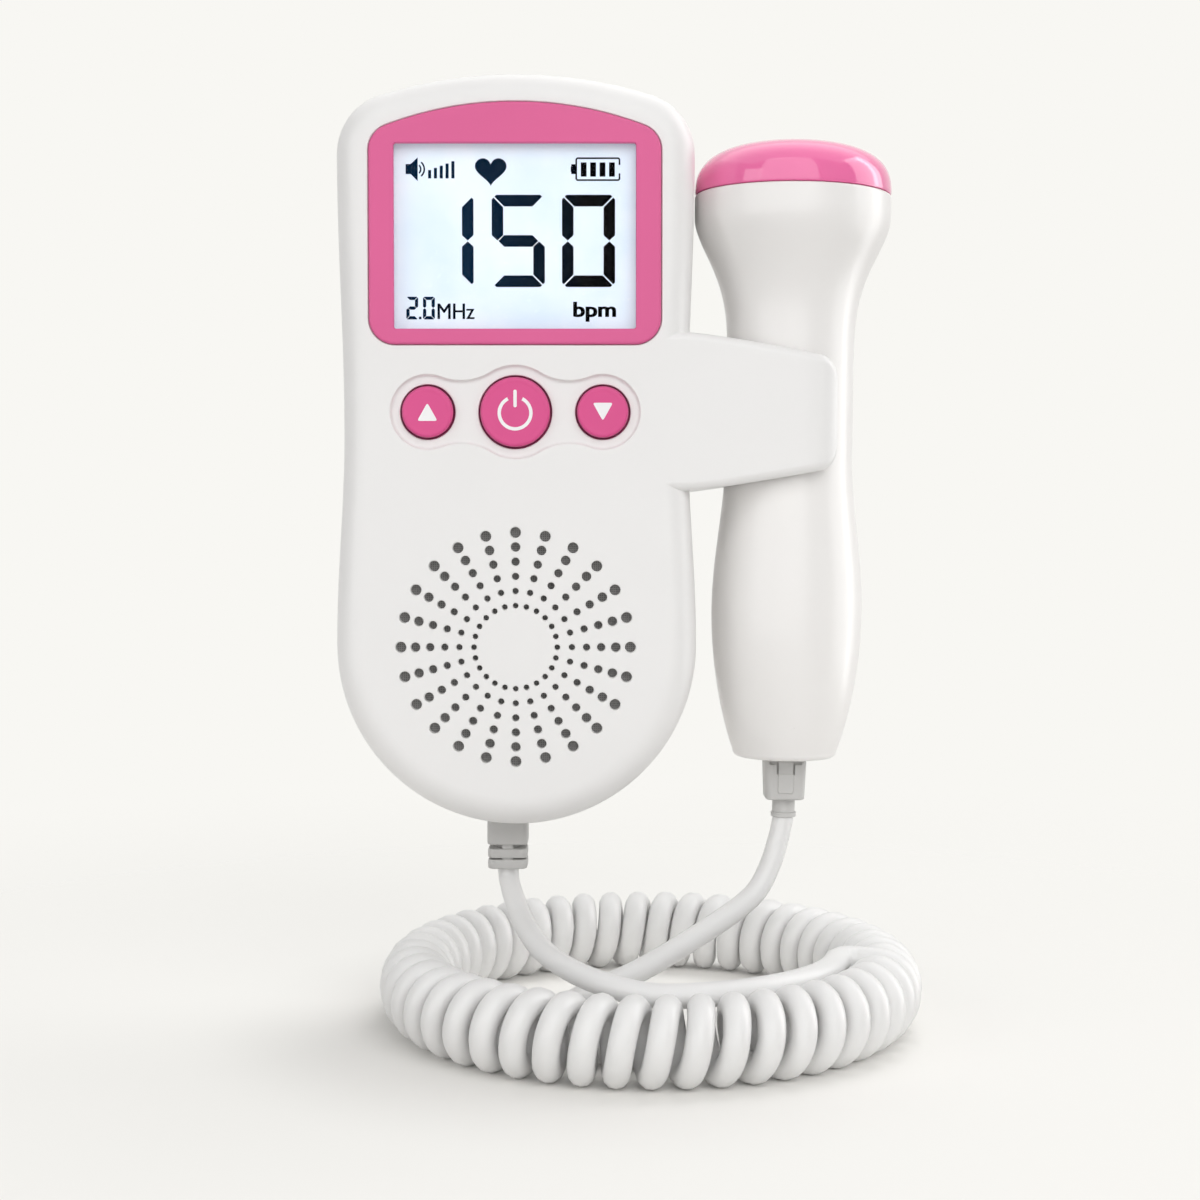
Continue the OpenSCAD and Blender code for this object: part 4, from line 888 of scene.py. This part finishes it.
def box(x0, y0, x1, y1):
    ink([(x0, y0), (x1, y0), (x1, y1), (x0, y1)])


def digit(shown, x, y, w, h, t, g):
    """A seven-segment figure with strokes t wide: the segments named in shown, mitred with gap g."""
    m = y + h / 2
    cut = 0.4 * t
    s = (cut - g) / 2
    left, right, wide = x + t + g, x + w - t - g, t / 2
    shapes = {
        "a": [(x + cut, y), (x + w - cut, y), (x + w - s - g, y + s), (right, y + t), (left, y + t),
              (x + s + g, y + s)],
        "g": [(x + wide + g, m), (left, m - wide), (right, m - wide), (x + w - wide - g, m),
              (right, m + wide), (left, m + wide)],
        "f": [(x, y + cut), (x + s, y + s + g), (x + t, y + t + g), (x + t, m - wide),
              (x + wide, m - g / 2), (x, m - wide)]}
    for name, like in (("d", "a"), ("e", "f")):
        shapes[name] = [(px, 2 * m - py) for px, py in shapes[like]]
    for name, like in (("b", "f"), ("c", "e")):
        shapes[name] = [(2 * x + w - px, py) for px, py in shapes[like]]
    for name in shown:
        ink(shapes[name])


# the rate, and the small figure of the working frequency with its point
for shown, x in (("bc", 145), ("afgcd", 543), ("abcdef", 935)):
    digit(shown, x, 277, 296, 511, 64, 5)
for shown, x in (("abged", 65), ("abcdef", 158)):
    digit(shown, x, 842, 66, 126, 18, 2)
box(135, 953, 149, 967)
print("plates for the figures:", len(inked))


# %% Signs of loudness, beat and charge
def band(cx, cy, r, t, first, last, steps=14):
    """Part of a flat ring with outer radius r and width t, between two angles in degrees."""
    first, last = math.radians(first), math.radians(last)
    return bow(cx, cy, r, first, last, steps) + bow(cx, cy, r - t, last, first, steps)


ink([(64, 107), (92, 107), (131, 70), (131, 201), (92, 162), (64, 162)])
ink(band(118, 135, 34.5, 9, -46, 46))
ink(band(118, 135, 54.5, 9, -50, 50))
for k, rise in enumerate((46, 58, 70, 82, 95)):
    box(189 + 32.5 * k, 186 - rise, 206 + 32.5 * k, 186)
heart = []
for i in range(60):
    t = 2 * math.pi * i / 60
    lift = 13 * math.cos(t) - 5 * math.cos(2 * t) - 2 * math.cos(3 * t) - math.cos(4 * t)
    heart.append((538 + 88 * math.sin(t) ** 3, 139 - 5.35 * lift))
ink(heart)
for cx, cy, first in ((1024, 84, 180), (1246, 84, 270), (1246, 186, 0), (1024, 186, 90)):
    ink(band(cx, cy, 14, 9, first, first + 90, 6))
for sides in ((1010, 84, 1019, 186), (1024, 70, 1246, 79), (1024, 191, 1246, 200),
              (1251, 84, 1260, 112), (1251, 158, 1260, 186)):
    box(*sides)
ink([(987, 108), (1012, 108), (1012, 162), (987, 162), (987, 152), (984, 148), (984, 122), (987, 118)])
for k in range(4):
    box(1040 + 52.5 * k, 98, 1072 + 52.5 * k, 176)
print("plates with the signs:", len(inked))


# %% [markdown]
# The units stand in the plain built-in letters, which are too thin. So each word is written
# twice, the second time a tenth of a millimetre to the right.

# %% Unit signs
def letters(words, left, base, height, width, heavy):
    bpy.ops.object.select_all(action="DESELECT")
    bpy.ops.object.text_add(location=(0, 0, 0))
    line = bpy.context.object
    line.data.body = words
    line.data.extrude = 0.01
    line.data.offset = heavy
    line.data.resolution_u = 4
    bpy.ops.object.convert(target="MESH")
    line = bpy.context.object
    xs = [v.co.x for v in line.data.vertices]
    top = max(v.co.y for v in line.data.vertices)
    sx, sz = width / GRID / (max(xs) - min(xs)), height / GRID / top
    for v in line.data.vertices:
        x, y, z = v.co
        v.co = Vector(((left - MID_X) / GRID + (x - min(xs)) * sx, -32.105 - z * 2.5,
                       WINDOW_Z - (base - MID_Z) / GRID + y * sz)) * MM
    inked.append(line)


for nudge in (0, 3):
    letters("MHz", 239 + nudge, 966, 86, 204, 0.0)
for nudge in (0, 4):
    letters("bpm", 997 + nudge, 952, 82, 236, 0.02)
finished(one_of("display_segments", inked), segment_ink, "lcd_glass", "unit")

# %% [markdown]
# ## Keys
# Three round keys, flat on top with a small rounded rim that catches the light. Their
# signs are pad-printed in white: thin plates let a hair into the top.

# %% Round keys
KEY_ROUND = 0.5
SIGN_Y = (FACE - 0.42, FACE - 0.485)
white_ink = moulded("white_ink", (246, 245, 246), rough=0.45, grit=0.05)


def key(name, x, r):
    """One key from its flange behind the wall to its flat top."""
    profile = [(1.7, 4.6), (1.7, 3.6), (r + 0.8, 3.6), (r + 0.8, 2.8), (r, 2.8), (r, 0.0)]
    profile += [(r + g, y - KEY_ROUND) for g, y in rim(KEY_ROUND, 7)]
    profile += [(r - 0.75, -0.5), (r - 0.95, -0.47), (r - 1.2, -0.46)]
    return turned(name, profile, x, BUTTON_Z, FACE, 96)


def printed(name, shapes, x, body):
    """A sign on a key, from flat shapes about the key's middle."""
    plates = [raised(name, [facing([(x + px, pz) for px, pz in shape], y, BUTTON_Z) for y in SIGN_Y])
              for shape in shapes]
    finished(one_of(name, plates), white_ink, "pink_button", body)


def rounded_triangle(w, h, r, way):
    """A triangle that points up (way 1) or down (way -1), with its corners rounded by r."""
    corners = [Vector((-w / 2, -h / 2 * way)), Vector((w / 2, -h / 2 * way)), Vector((0, h / 2 * way))]
    points = []
    for i, c in enumerate(corners):
        before, after = (corners[i - 1] - c).normalized(), (corners[(i + 1) % 3] - c).normalized()
        for t in (0.0, 0.25, 0.5, 0.75, 1.0):
            a, b = c + before * r, c + after * r
            points.append(tuple((1 - t) ** 2 * a + 2 * t * (1 - t) * c + t * t * b))
    return points if way > 0 else list(reversed(points))


for name, x, r, body, node in (("power_key_cap", 0, POWER_R, "power_key", "power_button"),
                               ("up_key_cap", -PITCH, SIDE_R, "up_key", "up_button"),
                               ("down_key_cap", PITCH, SIDE_R, "down_key", "down_button")):
    finished(key(name, x, r), pink_button, "pink_button", body, node)

open_ring = band(0, -0.2, 3.1, 0.6, 117, 423, 60)
bar = [(px, pz + 2.35) for px, pz in soft_rect(0.6, 3.1, 0.28, 5)]
printed("power_sign", [open_ring, bar], 0, "power_key")
printed("up_sign", [rounded_triangle(3.6, 3.2, 0.5, 1)], -PITCH, "up_key")
printed("down_sign", [rounded_triangle(3.6, 3.2, 0.5, -1)], PITCH, "down_key")

# %% [markdown]
# ## Probe
# The probe is turned work in spirit: a bulged grip, a slim neck for the clip and a flared
# head. It is moulded as two halves that meet in the plane of the shells' seam, so each half
# is raised from a C-shaped section whose two lips are chamfered to leave a fine parting line.

# %% Profile of the probe
GRIP_Z, NECK_LOW, NECK_TOP, HEAD_SEAM = up(38), up(67.5), up(81), up(114.2)
FLARE_TOP = HEAD_SEAM - 4.1
TAIL_R, GRIP_R, NECK_R, HEAD_R, PROBE_WALL = 8.95, 13.9, 11.65, 18, 2.2
CORD_HOLE_R, TAIL_ROUND, HEAD_ROUND, LIP = 2.2, 1.3, 0.5, 0.14


def probe_radius(z):
    if z < GRIP_Z:
        rise = math.sin(RIGHT * (z - TAIL_Z) / (GRIP_Z - TAIL_Z))
        return TAIL_R + (GRIP_R - TAIL_R) * max(0.0, rise) ** 0.75
    if z < NECK_LOW:
        return GRIP_R + (NECK_R - GRIP_R) * ease((z - GRIP_Z) / (NECK_LOW - GRIP_Z))
    if z < NECK_TOP:
        return NECK_R
    if z < FLARE_TOP:
        s = ((z - NECK_TOP) / (FLARE_TOP - NECK_TOP)) ** 2
        return NECK_R + (HEAD_R - NECK_R) * s * s * (3 - 2 * s)
    return HEAD_R


def leaned(outline, z):
    """A level loop at height z on the probe's own axis."""
    return [on_probe(x, y, z) for x, y in outline]


def c_section(z, outer, inner, side):
    """Half a ring at height z, on the front (side -1) or the rear, with chamfered lips."""
    first = math.asin(LIP / outer)
    points = [(outer - LIP, 0.0)] + bow(0, 0, outer, first, math.pi - first, 48)
    points += [(LIP - outer, 0.0)] + bow(0, 0, inner, math.pi, 0, 32)
    return leaned([(x, side * y) for x, y in points], z)


def probe_half(name, side):
    """Half the shell: rounded tail, solid round the cord, hollow above, open at the head."""
    start = TAIL_Z + TAIL_ROUND
    loops = [c_section(start - TAIL_ROUND * math.cos(a), probe_radius(start) - TAIL_ROUND * (1 - math.sin(a)),
                       CORD_HOLE_R, side) for a in quarter(8)]
    floor_top = TAIL_Z + 2 * PROBE_WALL
    heights = [start + (HEAD_SEAM - 0.55 - start) * i / 99 for i in range(1, 100)]
    inner_at = [(z, CORD_HOLE_R) for z in heights if z < floor_top] + [(floor_top, CORD_HOLE_R)]
    inner_at.append((floor_top + 0.02, probe_radius(floor_top) - PROBE_WALL))
    inner_at += [(z, probe_radius(z) - PROBE_WALL) for z in heights if z >= floor_top]
    loops += [c_section(z, probe_radius(z), inner, side) for z, inner in inner_at]
    loops += [c_section(HEAD_SEAM - HEAD_ROUND * (1 - math.sin(a)), HEAD_R - HEAD_ROUND * (1 - math.cos(a)),
                        HEAD_R - PROBE_WALL, side) for a in quarter(5, 1)]
    return raised(name, loops + [c_section(HEAD_SEAM, HEAD_R - 0.7, HEAD_R - PROBE_WALL, side)])


probe_white = moulded("probe_white", (241, 239, 237), rough=0.30, grit=0.06, drift=0.012, coat=0.12)
for side, half in ((-1, "front"), (1, "rear")):
    skin = probe_half("probe_skin_" + half, side)
    finished(skin, probe_white, "white_shell", "probe", "probe_shell_" + half, angle=35)

# %% [markdown]
# The cap is the face that listens: a shallow glossy dome with a spigot that stands in the
# head. One profile is walked from the inner crown down, round the spigot and up outside.

# %% Probe cap
CAP_H, CAP_WALL, FULLNESS, CROWN_R = 9.4, 1.6, 2 / 2.8, 0.15


def dome(r, h, a):
    """A point of the domed face, as a radius and a height over the seam: fuller than an ellipse."""
    return r * math.cos(a) ** FULLNESS, h * math.sin(a) ** FULLNESS


inside = [dome(HEAD_R - CAP_WALL, CAP_H - CAP_WALL, a) for a in reversed(quarter(20, 1))]
outside = [dome(HEAD_R, CAP_H, a) for a in quarter(40)]
SPIGOT_R = HEAD_R - PROBE_WALL - 0.1
profile = [(max(r, CROWN_R), h) for r, h in inside]
profile += [(SPIGOT_R - g, h) for g, h in ((1.2, 0.02), (1.2, -3.4), (0, -3.4), (0, -2.4), (0.8, -2.4),
                                           (0.8, -1.2), (0, -1.2), (0, 0.04))]
profile += [(HEAD_R - 0.45, 0.04), (HEAD_R - 0.12, 0.14), (HEAD_R, 0.4)]
profile += [(r, h) for r, h in outside if h > 0.7 and r > CROWN_R] + [(0.12, CAP_H)]
cap = raised("probe_dome", [leaned(ring(r, 128), HEAD_SEAM + h) for r, h in profile])
finished(cap, pink_cap, "pink_cap", "probe", "probe_cap", angle=40)

# %% [markdown]
# ## Strain reliefs
# Both ends of the cord are overmoulded in a soft grey rubber: a block that the shells grip,
# then ribs that let the cable bend. They are built from rounded slices.

# %% Relief of the unit
grey_rubber = moulded("grey_rubber", (196, 195, 193), rough=0.55, grit=0.25, grit_scale=3600, soft=0.05)


def slice_of(w, r, z0, z1, soft, d=None):
    """A slice with softened edges on the unit's cord; heights are counted from the bottom."""
    profile = ((-soft, z0), (-soft * 0.3, z0 + soft * 0.3), (0.0, z0 + soft), (0.0, z1 - soft),
               (-soft * 0.3, z1 - soft * 0.3), (-soft, z1))
    loops = []
    for g, z in profile:
        outline = soft_rect(w + 2 * g, (d or w) + 2 * g, max(0.1, r + g))
        loops.append([(RELIEF_X + px, SEAM + py, up(z)) for px, py in outline])
    return raised("slice", loops)


parts = [slice_of(7.5, 1.2, -5.2, 0.8, 0.35), slice_of(7.3, 1.3, -7.7, -5.9, 0.4),
         slice_of(7.3, 1.3, -9.7, -7.9, 0.4), slice_of(2.2, 0.5, -9.6, -5.0, 0.2, d=6.5),
         slice_of(4.3, 2.1, -9.65, -5.0, 0.05), slice_of(5.2, 2.55, 0.5, 3.4, 0.05),
         slice_of(8.0, 3.9, 3.0, 4.4, 0.1)]
finished(one_of("unit_relief", parts), grey_rubber, "grey_relief", "unit", "unit_strain_relief")


# %% Relief of the probe
def tapered(w0, w1, r, z0, z1, soft):
    """A rounded square block that widens from w0 to w1; heights are counted from the tail."""
    loops = []
    some = -soft * 0.3
    for share, g in ((0.0, -soft), (0.02, some), (0.05, 0.0), (0.95, 0.0), (0.98, some), (1.0, -soft)):
        w = w0 + (w1 - w0) * share + 2 * g
        loops.append(leaned(soft_rect(w, w, r + g), TAIL_Z + z0 + (z1 - z0) * share))
    return raised("tapered", loops)


def round_slice(r, z0, z1, soft):
    return raised("round_slice", [leaned(ring(r + g, 40), TAIL_Z + z0 + (z1 - z0) * share)
                                  for share, g in ((0.0, -soft), (0.1, 0.0), (0.9, 0.0), (1.0, -soft))])


block = tapered(7.2, 7.8, 1.3, -7.8, -0.5, 0.3)
for s in (-1, 1):
    for x0, x1, z0 in ((1.3, 1.7, -3.0), (1.6, 3.0, -1.2)):
        notch = brick(min(s * x0, s * x1), max(s * x0, s * x1), -5, -3.2, TAIL_Z + z0, TAIL_Z + 0.4)
        for v in notch.data.vertices:
            v.co = on_probe(*(v.co / MM)) * MM
        carve(block, notch)
panel = raised("panel", [[on_probe(px, y, TAIL_Z - 4.7 + pz) for px, pz in soft_rect(w, h, 0.4, 5)]
                         for w, h, y in ((2.9, 3.8, -3.0), (2.9, 3.8, -3.75), (2.6, 3.5, -3.95))])
parts = [block, panel, round_slice(2.1, -11.2, -7.6, 0.0), round_slice(2.35, -11.2, -10.3, 0.15),
         round_slice(2.1, -0.7, 5.2, 0.0), round_slice(3.5, 4.7, 5.9, 0.1)]
finished(one_of("probe_relief", parts), grey_rubber, "grey_relief", "probe", "probe_strain_relief")


# %% [markdown]
# ## What lies inside
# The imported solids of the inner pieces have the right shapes, so they only get finishes:
# steel, tin, lacquered board, paper cone, woven cloth. They show through the speaker
# holes, in the open battery bay and round the keys.

# %% Metal and cloth
def metal(name, shade, rough=0.3, tarnish=0.1):
    material, tree = new_material(name)
    line, bright = grain(tree, 900, 4, 0.6), tone(*shade)
    dull = tuple(c * (1 - tarnish) for c in bright)
    surface(tree, {"Metallic": 1.0, "Base Color": ramp(tree, line, 0.3, 0.7, dull, bright),
                   "Roughness": span(tree, line, rough - 0.08, rough + 0.1),
                   "Normal": bump(tree, line, 0.15, 0.00003)})
    return material


def woven(name, dark, light, pitch):
    """Plain weave on Object coordinates: two sets of threads crossing at right angles."""
    material, tree = new_material(name)
    where = add(tree, "TexCoord")["Object"]
    threads = [add(tree, "TexWave", {"Vector": where, "Scale": 0.314 / pitch, "Distortion": 0.4},
                   bands_direction=axis)["Fac"] for axis in ("X", "Z")]
    cross = maths(tree, "MAXIMUM", *threads)
    surface(tree, {"Base Color": ramp(tree, cross, 0.2, 0.9, tone(*dark), tone(*light)), "Roughness": 0.85,
                   "Normal": bump(tree, cross, 0.6, 0.0001)})
    return material


# %% Finishes of the inner pieces
def stem(name):
    return moulded(name, (40, 41, 43), rough=0.4)


def board(name, shade):
    return moulded(name, shade, rough=0.28, grit=0.3, grit_scale=1200, drift=0.10)


finishes = {
    "lcd_backlight": moulded("light_guide", (236, 238, 236), rough=0.25, grit=0.05, soft=0.1),
    "power_switch_stem": stem("black_stem"),
    "up_switch_stem": stem("black_stem_up"),
    "down_switch_stem": stem("black_stem_down"),
    "switch_bodies": moulded("switch_grey", (86, 88, 92), rough=0.45, grit=0.2),
    "main_board": board("board_lacquer", (42, 98, 66)),
    "board_parts": moulded("chip_black", (44, 44, 46), rough=0.5, grit=0.3, drift=0.08),
    "grille_cloth": woven("speaker_cloth", (112, 111, 110), (158, 157, 156), 0.00035),
    "speaker_frame": metal("basket_steel", (150, 153, 157), rough=0.38),
    "speaker_cone": moulded("cone_paper", (48, 48, 50), rough=0.8, grit=0.9, grit_scale=1800, drift=0.12),
    "speaker_magnet": metal("magnet_zinc", (168, 170, 174), rough=0.34, tarnish=0.2),
    "battery_cells": moulded("cell_jacket", (66, 76, 86), rough=0.3, grit=0.08, drift=0.06, coat=0.4),
    "battery_contacts": metal("contact_nickel", (204, 206, 208), rough=0.22, tarnish=0.12),
    "case_screws": metal("screw_zinc", (176, 178, 182), rough=0.26, tarnish=0.25),
    "headphone_socket": moulded("socket_black", (42, 42, 44), rough=0.32, grit=0.15),
    "probe_seal_ring": moulded("seal_rubber", (46, 46, 48), rough=0.6, grit=0.4),
    "probe_crystals": moulded("crystal_ceramic", (204, 184, 142), rough=0.5, grit=0.5, drift=0.06),
    "crystal_backing": moulded("backing_resin", (140, 142, 146), rough=0.6, grit=0.4, drift=0.08),
    "probe_board": board("probe_board_lacquer", (44, 102, 70)),
}
for node, material in finishes.items():
    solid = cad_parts[node]
    solid.data.materials.clear()
    solid.data.materials.append(material)
print("inner pieces with a finish:", len(finishes))
